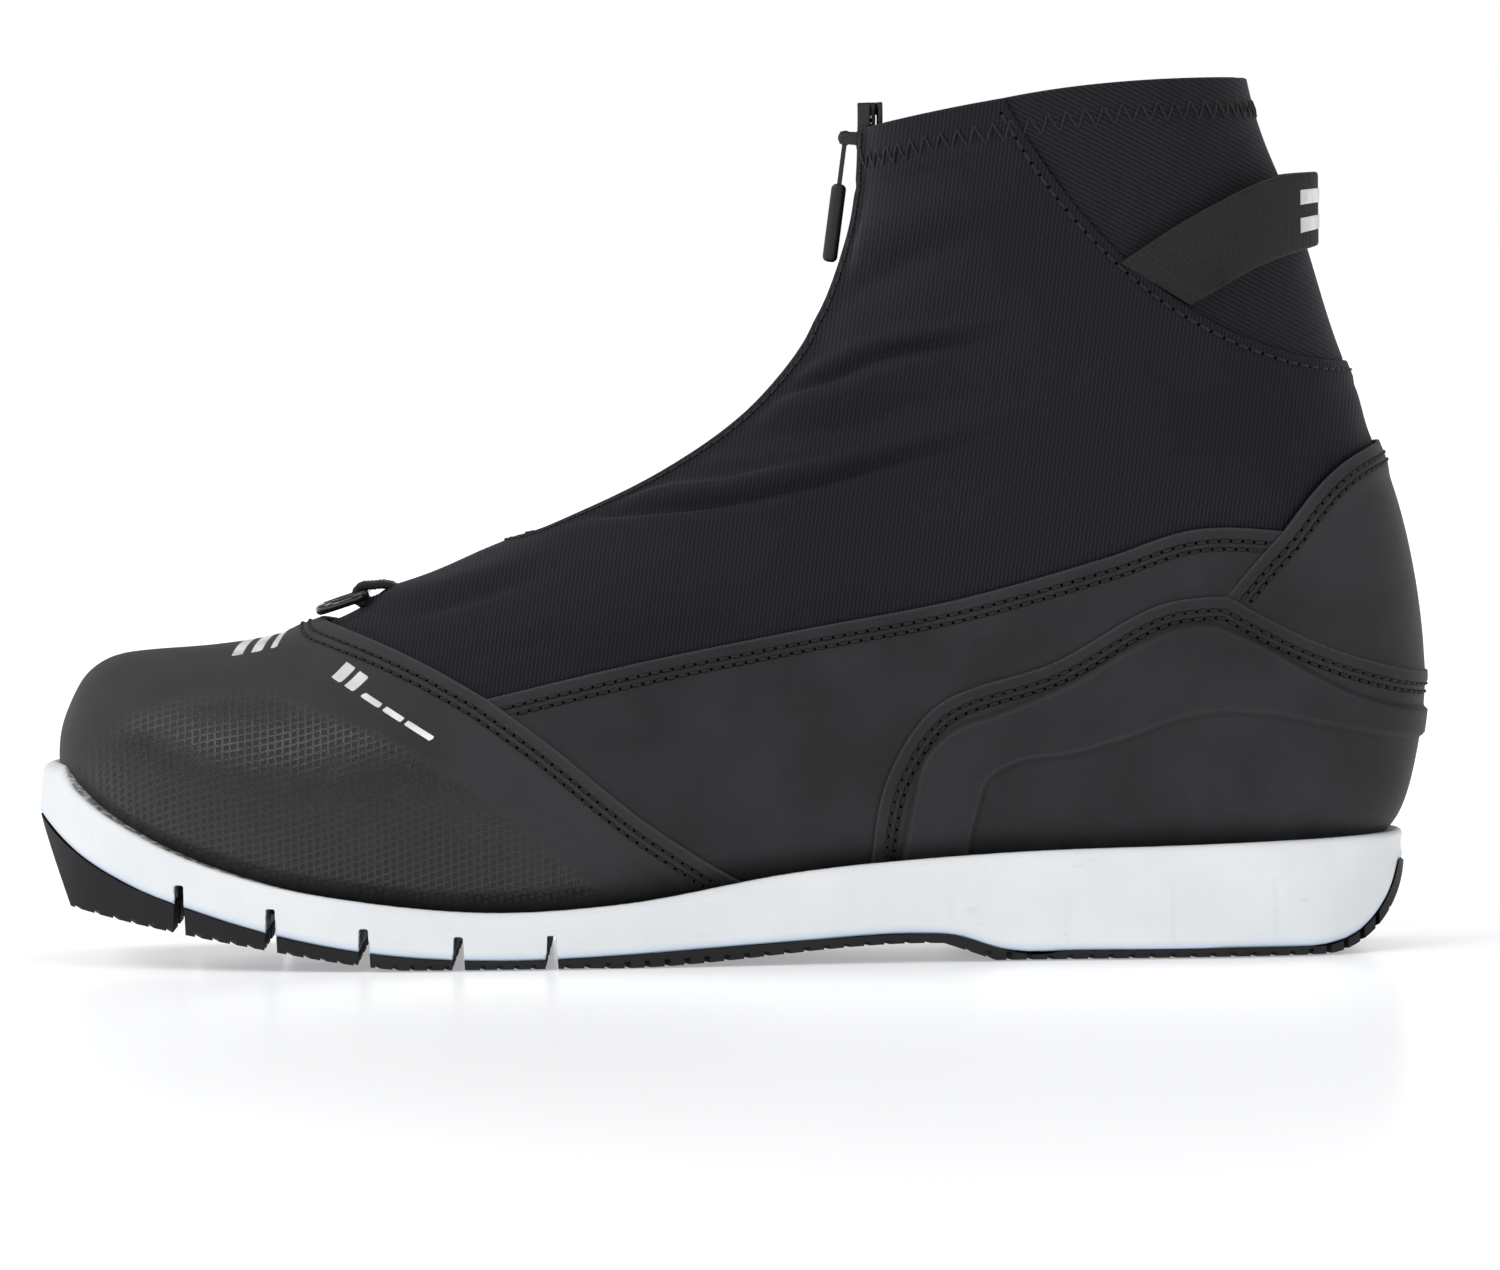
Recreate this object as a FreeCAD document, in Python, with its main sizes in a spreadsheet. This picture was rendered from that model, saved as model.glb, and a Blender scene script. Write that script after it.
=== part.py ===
import FreeCAD, Part
import Sketcher
import math
import os
from collections import namedtuple
from FreeCAD import Placement, Rotation, Vector

# Cross country ski boot, left foot, EU 42, for a toe-bar binding.
# Millimetres. +Z is up, the toe points along -X, the heel along +X, the inner (medial) side is +Y.
# The origin lies on the ground at the middle of the boot's bounding box.

doc = FreeCAD.newDocument("cross_country_boot")

# ---------------------------------------------------------------- driving dimensions
DIMENSIONS = [
    ("skin_depth", 1.8, "outer skin: overlays and stretch fabric"),
    ("stiffener_depth", 1.6, "toe puff, heel cup, eyestays and ankle padding"),
    ("lining_depth", 2.6, "fleece-backed foam lining"),
    ("tongue_depth", 3.5, "padded tongue"),
    ("footbed_height", 5.0, "removable footbed"),
    ("tread_depth", 1.7, "rubber outsole under the midsole"),
    ("notch_width", 1.9, "flex notch at its top"),
    ("notch_flare", 4.2, "flex notch at its mouth"),
    ("groove_width", 8.0, "binding guide groove"),
    ("groove_offset", 11.5, "guide groove centre from the boot's centre line"),
    ("bar_diameter", 4.0, "toe bar"),
    ("bar_length", 44.0, "toe bar, end to end"),
    ("bar_gap", 25.0, "free width of the toe bar between its lugs"),
    ("bar_x", -130.0, "toe bar centre, along the boot"),
    ("bar_z", 15.6, "toe bar centre above the ground"),
    ("shank_length", 108.0, "steel shank"),
    ("shank_width", 22.0, "steel shank"),
    ("shank_depth", 1.2, "steel shank"),
    ("shank_bend", 10.0, "steel shank's corners"),
    ("cushion_length", 52.0, "heel cushion"),
    ("cushion_width", 42.0, "heel cushion"),
    ("cushion_depth", 5.5, "heel cushion"),
    ("cushion_bend", 8.0, "heel cushion's corners"),
    ("zip_x", -61.0, "centre of the zip's arc, along the boot"),
    ("zip_z", 181.2, "centre of the zip's arc above the ground"),
    ("coil_radius", 91.9, "arc radius of the coil's outer face"),
    ("coil_depth", 1.2, "zip coil, across its tape"),
    ("coil_width", 1.9, "one half of the zip coil"),
    ("tape_depth", 0.6, "zip tape"),
    ("tape_edge", 7.8, "zip tape's sewn edge, and the cover's edge, from the centre line"),
    ("slot_floor", 97.0, "arc radius of the floor of the zip's slot"),
    ("slider_arc", 6.4, "slider length, degrees of the zip's arc"),
    ("slider_half", 4.3, "half the slider's width"),
    ("slider_angle", -2.0, "slider at the collar, degrees from level"),
    ("zip_top", 0.6, "upper end of the zip tape, degrees from level"),
    ("zip_bottom", -79.5, "lower end of the zip tape, degrees from level"),
    ("ring_wire", 2.2, "gaiter ring's wire"),
    ("ring_width", 19.0, "gaiter ring, centre to centre of its wire"),
    ("ring_reach", 10.0, "gaiter ring, from its bar to its front"),
    ("ring_x", -78.7, "gaiter ring's bar, along the boot"),
    ("ring_z", 78.2, "gaiter ring's bar above the ground"),
    ("webbing_depth", 1.5, "heel pull loop webbing"),
    ("lace_loop_radius", 1.9, "lace loop, centre to the middle of its wire"),
    ("lace_loop_wire", 1.0, "lace loop's wire"),
    ("lace_loop_offset", 10.4, "lace loops from the boot's centre line"),
    ("anchor_radius", 4.0, "stitched end patch under the pull loop"),
    ("loop_x", 92.0, "pull loop's sewn ends, along the boot"),
    ("loop_z", 144.0, "pull loop's sewn ends above the ground"),
]
sheet = doc.addObject("Spreadsheet::Sheet", "dims")
for row, (alias, value, note) in enumerate(DIMENSIONS, start=1):
    sheet.set(f"A{row}", note)
    sheet.set(f"B{row}", str(value))
    sheet.setAlias(f"B{row}", alias)
doc.recompute()


def dim(alias):
    return float(getattr(sheet, alias))


# ---------------------------------------------------------------- the last: stations of the upper
# Each station is a cut square to the centre plane. It runs from a point on the front or top
# profile to a point on the bottom or back profile, both (x, z). Its half widths are taken on the
# outer (lateral) and inner (medial) sides. "widest" is how far up from the bottom point it is
# widest, and the two powers say how square it is above and below that.
Station = namedtuple("Station", "front back lateral medial shift widest front_power back_power")
STATIONS = [
    Station((-144.8, 50.0), (-144.8, 39.0), 9.5, 9.5, 6.0, 0.45, 2.1, 2.2),
    Station((-142.8, 55.5), (-142.8, 35.8), 16.5, 16.5, 6.0, 0.42, 2.1, 2.4),
    Station((-139.3, 61.5), (-139.3, 31.5), 23.0, 23.0, 6.0, 0.40, 2.2, 2.7),
    Station((-133.5, 65.2), (-133.5, 27.0), 29.8, 29.8, 5.8, 0.39, 2.3, 3.0),
    Station((-125.0, 66.5), (-125.0, 22.3), 36.0, 36.0, 5.2, 0.38, 2.3, 3.3),
    Station((-112.0, 67.4), (-112.0, 17.3), 41.3, 41.3, 3.9, 0.36, 2.3, 3.6),
    Station((-97.0, 69.8), (-97.0, 13.0), 44.4, 44.4, 2.3, 0.34, 2.2, 4.0),
    Station((-80.0, 75.8), (-80.0, 10.1), 46.0, 45.5, 0.9, 0.32, 2.1, 4.3),
    Station((-60.0, 84.3), (-60.0, 8.0), 47.0, 45.5, 0.0, 0.30, 2.05, 4.5),
    Station((-40.0, 92.8), (-40.0, 7.7), 46.0, 42.5, 0.0, 0.28, 2.05, 4.5),
    Station((-20.0, 101.2), (-20.0, 9.4), 42.5, 38.6, 0.0, 0.27, 2.05, 4.5),
    Station((-7.0, 108.7), (13.0, 15.0), 38.6, 35.6, 0.0, 0.27, 2.1, 4.5),
    Station((3.8, 117.0), (47.7, 18.0), 36.0, 34.2, 0.0, 0.30, 2.15, 4.6),
    Station((11.8, 125.8), (90.0, 18.7), 35.6, 34.6, 0.0, 0.33, 2.2, 4.4),
    Station((16.5, 132.5), (124.0, 19.2), 36.2, 35.5, 0.0, 0.38, 2.2, 3.6),
    Station((18.8, 136.6), (141.5, 24.5), 36.7, 36.0, 0.0, 0.42, 2.25, 2.9),
    Station((20.6, 139.6), (148.0, 40.0), 37.0, 36.5, 0.0, 0.44, 2.25, 2.6),
    Station((22.6, 143.6), (150.3, 63.6), 37.3, 37.0, 0.0, 0.46, 2.25, 2.5),
    Station((25.3, 150.4), (144.8, 96.7), 37.5, 37.3, 0.0, 0.48, 2.25, 2.4),
    Station((27.6, 157.4), (132.0, 129.0), 37.3, 37.1, 0.0, 0.50, 2.25, 2.3),
    Station((28.9, 165.0), (124.3, 155.0), 37.0, 37.0, 0.0, 0.50, 2.25, 2.3),
    Station((29.5, 172.6), (115.2, 177.0), 36.6, 36.6, 0.0, 0.50, 2.25, 2.3),
    Station((29.5, 181.0), (110.5, 198.5), 36.2, 36.2, 0.0, 0.50, 2.25, 2.3),
]
STATION_FILL = 3                     # sections in each stretch between two stations
SIDE_STEPS = 9                       # points from the bottom of a section to its top, on one side


def unit(x, z):
    length = math.hypot(x, z)
    return x / length, z / length


def flat_values(station):
    return [*station.front, *station.back, *station[2:]]


def between_stations(rows):
    """Stations at STATION_FILL even steps between the given ones, on a smooth curve through them."""
    values = [flat_values(row) for row in rows]
    knots = [0.0]
    for before, after in zip(values, values[1:]):
        knots.append(knots[-1] + math.sqrt(math.dist(before[:2], after[:2]) + math.dist(before[2:4], after[2:4])))
    slopes = []
    for k in range(len(values)):
        low = max(k - 1, 0)
        high = min(k + 1, len(values) - 1)
        slopes.append([(b - a) / (knots[high] - knots[low]) for a, b in zip(values[low], values[high])])
    dense = []
    for k in range(len(values) - 1):
        gap = knots[k + 1] - knots[k]
        for step in range(STATION_FILL):
            t = step / STATION_FILL
            mix = (2*t**3 - 3*t**2 + 1, (t**3 - 2*t**2 + t) * gap, 3*t**2 - 2*t**3, (t**3 - t**2) * gap)
            parts = zip(values[k], slopes[k], values[k + 1], slopes[k + 1])
            row = [sum(weight * part for weight, part in zip(mix, four)) for four in parts]
            dense.append(Station((row[0], row[1]), (row[2], row[3]), *row[4:]))
    dense.append(rows[-1])
    return dense


def outward(points, index, side):
    """Outward unit normal of a profile at one of its points; side is +1 for the top, -1 below."""
    ahead = points[min(index + 1, len(points) - 1)]
    behind = points[max(index - 1, 0)]
    along = unit(ahead[0] - behind[0], ahead[1] - behind[1])
    return -along[1] * side, along[0] * side


DENSE = between_stations(STATIONS)


def width_slope(index, field):
    """How steeply a half width changes along the boot, as the cosine of the wall's turn."""
    ahead = DENSE[min(index + 1, len(DENSE) - 1)]
    behind = DENSE[max(index - 1, 0)]
    middle = [((s.front[0] + s.back[0]) / 2, (s.front[1] + s.back[1]) / 2) for s in (behind, ahead)]
    run = math.dist(middle[0], middle[1])
    rise = getattr(ahead, field) - getattr(behind, field)
    return run / math.hypot(run, rise)


def section_points(index, depth):
    """Closed ring of points of one section, set inside the outer skin by depth."""
    station = DENSE[index]
    fronts = [s.front for s in DENSE]
    backs = [s.back for s in DENSE]
    front_normal = outward(fronts, index, 1)
    back_normal = outward(backs, index, -1)
    front = [station.front[k] - depth * front_normal[k] for k in (0, 1)]
    back = [station.back[k] - depth * back_normal[k] for k in (0, 1)]
    lateral = station.lateral - depth * width_slope(index, "lateral")
    medial = station.medial - depth * width_slope(index, "medial")
    ring = []
    for step in range(4 * SIDE_STEPS):
        turn = 2 * math.pi * step / (4 * SIDE_STEPS)
        upper = math.sin(turn) >= 0
        power = station.front_power if upper else station.back_power
        rise = abs(math.sin(turn)) ** (2 / power)
        reach = abs(math.cos(turn)) ** (2 / power)
        up = station.widest + (1 - station.widest) * rise if upper else station.widest * (1 - rise)
        half = medial if math.cos(turn) >= 0 else -lateral
        ring.append(Vector(back[0] + up * (front[0] - back[0]),
                           station.shift + half * reach,
                           back[1] + up * (front[1] - back[1])))
    return ring


def last_solid(name, depth, first=0):
    """The whole upper as one filled solid, set inside the outer skin by depth.

    Its wall is one cubic B-spline surface, clamped along the boot and periodic around it.
    """
    poles = [section_points(index, depth) for index in range(first, len(DENSE))]
    along = len(poles)
    around = len(poles[0])
    surface = Part.BSplineSurface()
    surface.buildFromPolesMultsKnots(
        poles, [4] + [1] * (along - 4) + [4], [1] * (around + 1),
        list(range(along - 2)), list(range(around + 1)), False, True, 3, 3)
    wall = surface.toShape()
    ends = [edge for edge in wall.Edges if edge.isClosed()]
    caps = [Part.Face(Part.Wire([edge])) for edge in ends]
    skin = Part.Compound([wall, *caps])
    skin.sewShape()
    solid = Part.Solid(skin.Shells[0])
    if solid.Volume < 0:
        solid.reverse()
    last = doc.addObject("Part::Feature", name)
    last.Shape = solid
    return last


def nested(name, outer, inner):
    layer = doc.addObject("Part::Cut", name)
    layer.Base = outer
    layer.Tool = inner
    return layer


skin_depth = dim("skin_depth")
stiff_depth = skin_depth + dim("stiffener_depth")
liner_depth = stiff_depth + dim("lining_depth")
inside_depth = liner_depth + dim("tongue_depth")
TONGUE_FIRST = 18                    # the tongue's inner face needs no sections ahead of this one

last_outer = last_solid("last_outer", 0)
last_skin = last_solid("last_skin", skin_depth)
last_stiff = last_solid("last_stiff", stiff_depth)
last_liner = last_solid("last_liner", liner_depth)
last_inside = last_solid("last_inside", inside_depth, TONGUE_FIRST)
skin_layer = nested("skin_layer", last_outer, last_skin)
stiff_layer = nested("stiff_layer", last_skin, last_stiff)
liner_layer = nested("liner_layer", last_stiff, last_liner)
tongue_layer = nested("tongue_layer", last_liner, last_inside)


# ---------------------------------------------------------------- helpers for flat outlines
FAR = 70.0                           # beyond the boot's sides


def edge_through(points, plane):
    """A straight edge through two points, or a smooth curve through more, in the given plane."""
    places = [plane(*point) for point in points]
    if len(places) == 2:
        return Part.LineSegment(places[0], places[1]).toShape()
    curve = Part.BSplineCurve()
    curve.interpolate(Points=places)
    return curve.toShape()


def side_view(y):
    return lambda x, z: Vector(x, y, z)


def plan_view(z):
    return lambda x, y: Vector(x, y, z)


def outline(name, stretches, plane):
    """Closed wire of stretches; each begins where the one before it ends."""
    edges = []
    for before, stretch in zip([stretches[-1], *stretches[:-1]], stretches):
        if math.dist(before[-1], stretch[0]) > 1e-6:
            edges.append(edge_through([before[-1], stretch[0]], plane))
        edges.append(edge_through(stretch, plane))
    wire = doc.addObject("Part::Feature", name)
    wire.Shape = Part.Wire(Part.__sortEdges__(edges))
    return wire


def corners(points):
    """Straight stretches from corner to corner."""
    return [list(pair) for pair in zip(points, points[1:])]


def prism(name, stretches, low=-FAR, high=FAR):
    """A side-view outline carried across the boot from y = low to y = high."""
    solid = doc.addObject("Part::Extrusion", name)
    solid.Base = outline(f"{name}_outline", stretches, side_view(low))
    solid.DirMode = "Custom"
    solid.Dir = Vector(0, 1, 0)
    solid.LengthFwd = high - low
    solid.Solid = True
    return solid


def plate(name, stretches, low, high):
    """A plan-view outline carried upwards from z = low to z = high."""
    solid = doc.addObject("Part::Extrusion", name)
    solid.Base = outline(f"{name}_outline", stretches, plan_view(low))
    solid.DirMode = "Custom"
    solid.Dir = Vector(0, 0, 1)
    solid.LengthFwd = high - low
    solid.Solid = True
    return solid


def common(name, *shapes):
    result = doc.addObject("Part::MultiCommon", name)
    result.Shapes = list(shapes)
    return result


def fused(name, *shapes):
    result = doc.addObject("Part::MultiFuse", name)
    result.Shapes = list(shapes)
    return result


def without(name, base, *tools):
    result = doc.addObject("Part::Cut", name)
    result.Base = base
    result.Tool = tools[0] if len(tools) == 1 else fused(f"{name}_tools", *tools)
    return result


def box(name, x, y, z):
    """A box between two planes along each axis."""
    block = doc.addObject("Part::Box", name)
    block.Length = x[1] - x[0]
    block.Width = y[1] - y[0]
    block.Height = z[1] - z[0]
    block.Placement.Base = Vector(x[0], y[0], z[0])
    return block


def reversed_stretch(points):
    return list(reversed(points))


def raised(points, height):
    return [(x, z + height) for x, z in points]


NODES = {}


def node(label, feature):
    """Mark a feature as one of the boot's real pieces."""
    feature.Label = label
    NODES[label] = feature
    return feature


# ---------------------------------------------------------------- seams, in side view (x, z)
TOE_SEAM_HIGH = [(-88.0, 72.9), (-76.5, 69.1), (-65.0, 64.2), (-52.0, 57.1)]
TOE_SEAM_LOW = [(-52.0, 57.1), (-41.3, 49.4), (-15.6, 28.6), (2.7, 17.1), (20.0, 8.0)]
QUARTER_TOP = [(-52.0, 57.1), (-19.5, 64.3), (15.2, 70.8), (49.9, 77.1), (80.3, 85.4), (99.8, 91.3), (118.2, 90.6)]
COLLAR_PANEL_LOW = [(106.1, 77.0), (112.0, 84.0), (118.2, 90.6)]
COLLAR_PANEL_HIGH = [(118.2, 90.6), (132.4, 105.4), (143.0, 110.0), (160.0, 113.0)]
COUNTER_FRONT = [(29.0, 8.0), (29.6, 20.3), (33.2, 38.8), (42.0, 52.6), (69.2, 63.3), (95.3, 76.2), (106.1, 77.0)]
COUNTER_REAR = [(106.1, 77.0), (127.6, 65.8), (142.0, 61.0), (160.0, 58.0)]
REAR_SEAM = [(59.8, 183.5), (70.4, 166.0), (84.9, 149.2), (99.3, 137.6), (121.9, 127.6), (160.0, 128.5)]
COLLAR_FRONT = [(20.0, 175.2), (34.0, 178.6), (59.8, 183.5)]
COLLAR_BACK = [(59.8, 183.5), (80.0, 186.3), (113.0, 187.6), (160.0, 188.0)]
FOOT_LINE = [(-150.0, 45.0), (-144.8, 39.0), (-133.5, 27.0), (-112.0, 17.3), (-97.0, 13.0), (-80.0, 10.1),
             (-60.0, 8.0), (-40.0, 7.7), (-20.0, 9.4), (13.0, 15.0), (47.7, 18.0), (90.0, 18.7), (124.0, 19.2),
             (160.0, 21.0)]
PUFF_EDGE = [(-102.0, 100.0), (-98.0, 68.0), (-84.0, 40.0), (-80.0, 0.0)]
CUP_EDGE = [(62.0, 0.0), (64.0, 30.0), (80.0, 58.0), (108.0, 72.0), (160.0, 80.0)]
EYESTAY_EDGE = [(-66.0, 60.0), (-30.0, 80.0), (0.0, 98.0), (18.0, 116.0), (32.0, 136.0), (42.0, 160.0)]
PAD_LINE = [(18.0, 116.0), (48.0, 92.0), (80.0, 58.0)]
TONGUE_EDGE = [(-66.0, 50.0), (-30.0, 66.0), (0.0, 84.0), (24.0, 106.0), (40.0, 128.0), (50.0, 150.0), (54.0, 176.0)]
HEM_DEPTH = 12.0
BOARD_TOP = 4.6                      # lasting board's rim above the foot line
FOOTBED_TOP = stiff_depth + dim("footbed_height")
EAST = 160.0
WEST = -160.0
CEILING = 215.0
CELLAR = -12.0

seam_top = (-96.0, 104.0)            # the toe cap's seam, carried on above the boot
hem_front = raised(COLLAR_FRONT, -HEM_DEPTH)
hem_back = raised(COLLAR_BACK, -HEM_DEPTH)
fore_sky = corners([(20.0, 175.2), (-40.0, 168.0), (-96.0, 130.0), seam_top, (-88.0, 72.9)])

# ---------------------------------------------------------------- zip: arcs about one axis
ZIP_CENTRE = Vector(dim("zip_x"), 0, dim("zip_z"))


def zip_place(angle):
    """Local +X points outwards along the arc's radius at the given angle above level."""
    return Placement(ZIP_CENTRE, Rotation(Vector(0, 1, 0), -angle))


def zip_arc(name, corners_ry, low, high):
    """A (radius, y) outline turned about the zip's axis from angle low to angle high."""
    outline_wire = doc.addObject("Part::Feature", f"{name}_outline")
    outline_wire.Shape = Part.makePolygon([Vector(r, y, 0) for r, y in [*corners_ry, corners_ry[0]]])
    arc = doc.addObject("Part::Revolution", name)
    arc.Source = outline_wire
    arc.Base = Vector(0, 0, 0)
    arc.Axis = Vector(0, 1, 0)
    arc.Angle = high - low
    arc.Symmetric = True
    arc.Solid = True
    arc.Placement = zip_place((low + high) / 2)
    return arc


def rectangle(near, far, left, right):
    return [(near, left), (far, left), (far, right), (near, right)]


coil_face = dim("coil_radius")
tape_face = coil_face + dim("coil_depth")
tape_back = tape_face + dim("tape_depth")
slot_floor = dim("slot_floor")
tape_edge = dim("tape_edge")
SLOT_END = -86.0                     # the slot runs on a little past the tape's lower end
ROOM = 0.35                          # clearance round a moving piece
zip_slot = zip_arc("zip_slot", rectangle(70.0, slot_floor, -tape_edge, tape_edge), SLOT_END, 14.0)
THROAT_HALF = 15.0
throat_slot = zip_arc("throat_slot", rectangle(70.0, 106.0, -THROAT_HALF, THROAT_HALF), -84.0, 14.0)

# ---------------------------------------------------------------- outer skin
toe_area = prism("toe_area", [*corners([(WEST, CELLAR), (WEST, 104.0), seam_top, (-88.0, 72.9)]),
                              TOE_SEAM_HIGH, TOE_SEAM_LOW, *corners([(20.0, 8.0), (20.0, CELLAR), (WEST, CELLAR)])])
node("toe_cap", common("toe_cap_skin", skin_layer, toe_area))
quarter_sides = [QUARTER_TOP, reversed_stretch(COLLAR_PANEL_LOW), reversed_stretch(COUNTER_FRONT),
                 *corners([(29.0, 8.0), (29.0, CELLAR), (20.0, CELLAR), (20.0, 8.0)]),
                 reversed_stretch(TOE_SEAM_LOW)]
cover_sides = [*fore_sky, TOE_SEAM_HIGH, QUARTER_TOP, COLLAR_PANEL_HIGH,
               *corners([(EAST, 113.0), (EAST, 128.5)]), reversed_stretch(REAR_SEAM), reversed_stretch(COLLAR_FRONT)]
for side, low, high in (("lateral", -FAR, 0.0), ("medial", 0.0, FAR)):
    quarter_area = prism(f"quarter_area_{side}", quarter_sides, low, high)
    node(f"quarter_{side}", common(f"quarter_skin_{side}", skin_layer, quarter_area))
    cover_area = prism(f"cover_area_{side}", cover_sides, low, high)
    cover_whole = common(f"cover_whole_{side}", skin_layer, cover_area)
    node(f"lace_cover_{side}", without(f"cover_skin_{side}", cover_whole, zip_slot))
counter_area = prism("counter_area", [COUNTER_FRONT, COUNTER_REAR,
                                      *corners([(EAST, 58.0), (EAST, CELLAR), (29.0, CELLAR), (29.0, 8.0)])])
node("heel_counter", common("counter_skin", skin_layer, counter_area))
panel_area = prism("collar_panel_area", [COLLAR_PANEL_LOW, COLLAR_PANEL_HIGH, *corners([(EAST, 113.0), (EAST, 58.0)]),
                                         reversed_stretch(COUNTER_REAR)])
node("heel_collar_panel", common("collar_panel_skin", skin_layer, panel_area))
rear_area = prism("rear_area", [REAR_SEAM, *corners([(EAST, 128.5), (EAST, 188.0)]), reversed_stretch(COLLAR_BACK)])
node("rear_ankle_panel", common("rear_skin", skin_layer, rear_area))

# ---------------------------------------------------------------- stiffeners and padding
board_line = raised(FOOT_LINE, BOARD_TOP)
below_board = prism("below_board", [board_line, *corners([board_line[-1], (EAST, CELLAR), (-150.0, CELLAR), board_line[0]])])
node("lasting_board", common("board_tray", stiff_layer, below_board))
puff_area = prism("puff_area", [PUFF_EDGE, *corners([(-80.0, 0.0), (WEST, 0.0), (WEST, 100.0), (-102.0, 100.0)])])
puff_whole = common("puff_whole", stiff_layer, puff_area)
node("toe_puff", without("puff_shell", puff_whole, below_board))
cup_area = prism("cup_area", [CUP_EDGE, *corners([(160.0, 80.0), (EAST, 0.0), (62.0, 0.0)])])
cup_whole = common("cup_whole", stiff_layer, cup_area)
node("heel_cup", without("cup_shell", cup_whole, below_board))
hem_area = prism("hem_area", [hem_front, hem_back, *corners([hem_back[-1], COLLAR_BACK[-1]]),
                              reversed_stretch(COLLAR_BACK), reversed_stretch(COLLAR_FRONT)])
hem_whole = common("hem_whole", stiff_layer, hem_area)
node("collar_elastic", without("hem_ring", hem_whole, throat_slot))
EYESTAY_TOP = (42.0, 160.0)
eyestay_sides = [EYESTAY_EDGE, *corners([EYESTAY_TOP, (0.0, 160.0), (-40.0, 140.0), (-90.0, 100.0), (-66.0, 60.0)])]
midfoot_sides = [[(-66.0, 60.0), (-30.0, 80.0), (0.0, 98.0), (18.0, 116.0)], PAD_LINE,
                 [(80.0, 58.0), (66.0, 40.0), (62.0, 4.0)], *corners([(62.0, 4.0), (-60.0, 4.0), (-66.0, 60.0)])]
for side, low, high in (("lateral", -FAR, 0.0), ("medial", 0.0, FAR)):
    eyestay_area = prism(f"eyestay_area_{side}", eyestay_sides, low, high)
    eyestay_whole = common(f"eyestay_whole_{side}", stiff_layer, eyestay_area)
    node(f"eyestay_{side}", without(f"eyestay_strip_{side}", eyestay_whole, throat_slot, puff_area))
ankle_area = prism("ankle_area", [*corners([(-40.0, 140.0), (0.0, 160.0)]), *corners([(0.0, 160.0), hem_front[0]]),
                                  hem_front, hem_back, *corners([hem_back[-1], (EAST, 0.0), (-150.0, 0.0), (-150.0, 100.0), (-40.0, 140.0)])])
padding_whole = common("padding_whole", stiff_layer, ankle_area)
padding_rest = without("padding_rest", padding_whole, below_board, puff_area, cup_area, throat_slot,
                       prism("eyestay_area_both", eyestay_sides))
pad_split = prism("pad_split", [PAD_LINE, *corners([(80.0, 58.0), (80.0, 0.0), (-150.0, 0.0), (-150.0, 116.0), (18.0, 116.0)])])
node("midfoot_interlining", common("interlining_wrap", padding_rest, pad_split))
node("ankle_padding", without("padding_collar", padding_rest, pad_split))

# ---------------------------------------------------------------- lining, footbed and tongue
bed_line = raised(FOOT_LINE, FOOTBED_TOP)
below_bed = prism("below_bed", [bed_line, *corners([bed_line[-1], (EAST, CELLAR), (-150.0, CELLAR), bed_line[0]])])
FOOTBED_TOE = -134.0
footbed_reach = box("footbed_reach", (FOOTBED_TOE, EAST), (-FAR, FAR), (0.0, 60.0))
node("footbed", common("footbed_pad", last_stiff, below_bed, footbed_reach))
below_collar = prism("below_collar", [COLLAR_FRONT, COLLAR_BACK, *corners([(EAST, 188.0), (EAST, CELLAR), (WEST, CELLAR),
                                                                         (WEST, 130.0), (-40.0, 168.0), (20.0, 175.2)])])
LINING_SPLIT = -46.0
lining_whole = common("lining_whole", liner_layer, below_collar)
lining_rest = without("lining_rest", lining_whole, below_bed, throat_slot)
toe_side = box("toe_side", (WEST, LINING_SPLIT), (-FAR, FAR), (CELLAR, CEILING))
node("lining_forefoot", common("lining_toe", lining_rest, toe_side))
node("lining_ankle", without("lining_back", lining_rest, toe_side))
TONGUE_HALF = 25.0
tongue_area = prism("tongue_area", [TONGUE_EDGE, *corners([TONGUE_EDGE[-1], (54.0, 181.0), (20.0, 174.0), (-40.0, 168.0), (-96.0, 130.0),
                                                          (-66.0, 100.0), (-66.0, 50.0)])], -TONGUE_HALF, TONGUE_HALF)
node("tongue", common("tongue_pad", tongue_layer, tongue_area, below_collar))

# ---------------------------------------------------------------- sole unit, in side view (x, z)
RIM_LINE = [(-146.2, 42.4), (-141.0, 36.9), (-128.0, 28.5), (-102.0, 18.8), (-76.0, 14.1), (-50.0, 12.0),
            (-24.0, 13.3), (15.0, 19.5), (54.0, 22.6), (106.0, 24.1), (144.6, 25.2)]
TREAD_LINE = [(-149.4, 31.6), (-141.1, 24.2), (-128.2, 17.0), (-115.3, 12.4), (-102.3, 8.5), (-76.4, 3.4), (-50.5, 1.7),
              (-24.5, 2.4), (14.4, 4.7), (40.4, 5.8), (47.0, 5.4), (57.0, 2.4), (70.0, 1.7)]
TREAD_HEEL = [(70.0, 1.7), (124.0, 1.7)]
TREAD_END = [(124.0, 1.7), (134.0, 4.2), (140.6, 11.0), (143.6, 18.6)]
TOE_TIP = (-150.0, 37.5)
GROUND_TOE = [(-142.2, 12.6), (-120.5, 8.0), (-98.0, 4.0), (-77.0, 0.7), (-70.0, 0.0)]
GROUND_WAIST = [(-30.0, 0.0), (10.0, 2.0), (32.0, 3.7), (45.0, 3.8)]
GROUND_END = [(126.0, 0.0), (135.6, 3.0), (142.2, 10.2), (145.0, 18.4)]
PLAN_LATERAL = [(-150.0, 5.0), (-147.5, -8.0), (-141.0, -19.5), (-128.0, -30.5), (-110.0, -39.8), (-88.0, -46.5), (-60.0, -49.6),
                (-35.0, -48.8), (-5.0, -44.2), (30.0, -39.6), (70.0, -37.2), (104.0, -36.0), (127.0, -30.5), (140.0, -19.0),
                (145.0, 0.0)]
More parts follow.
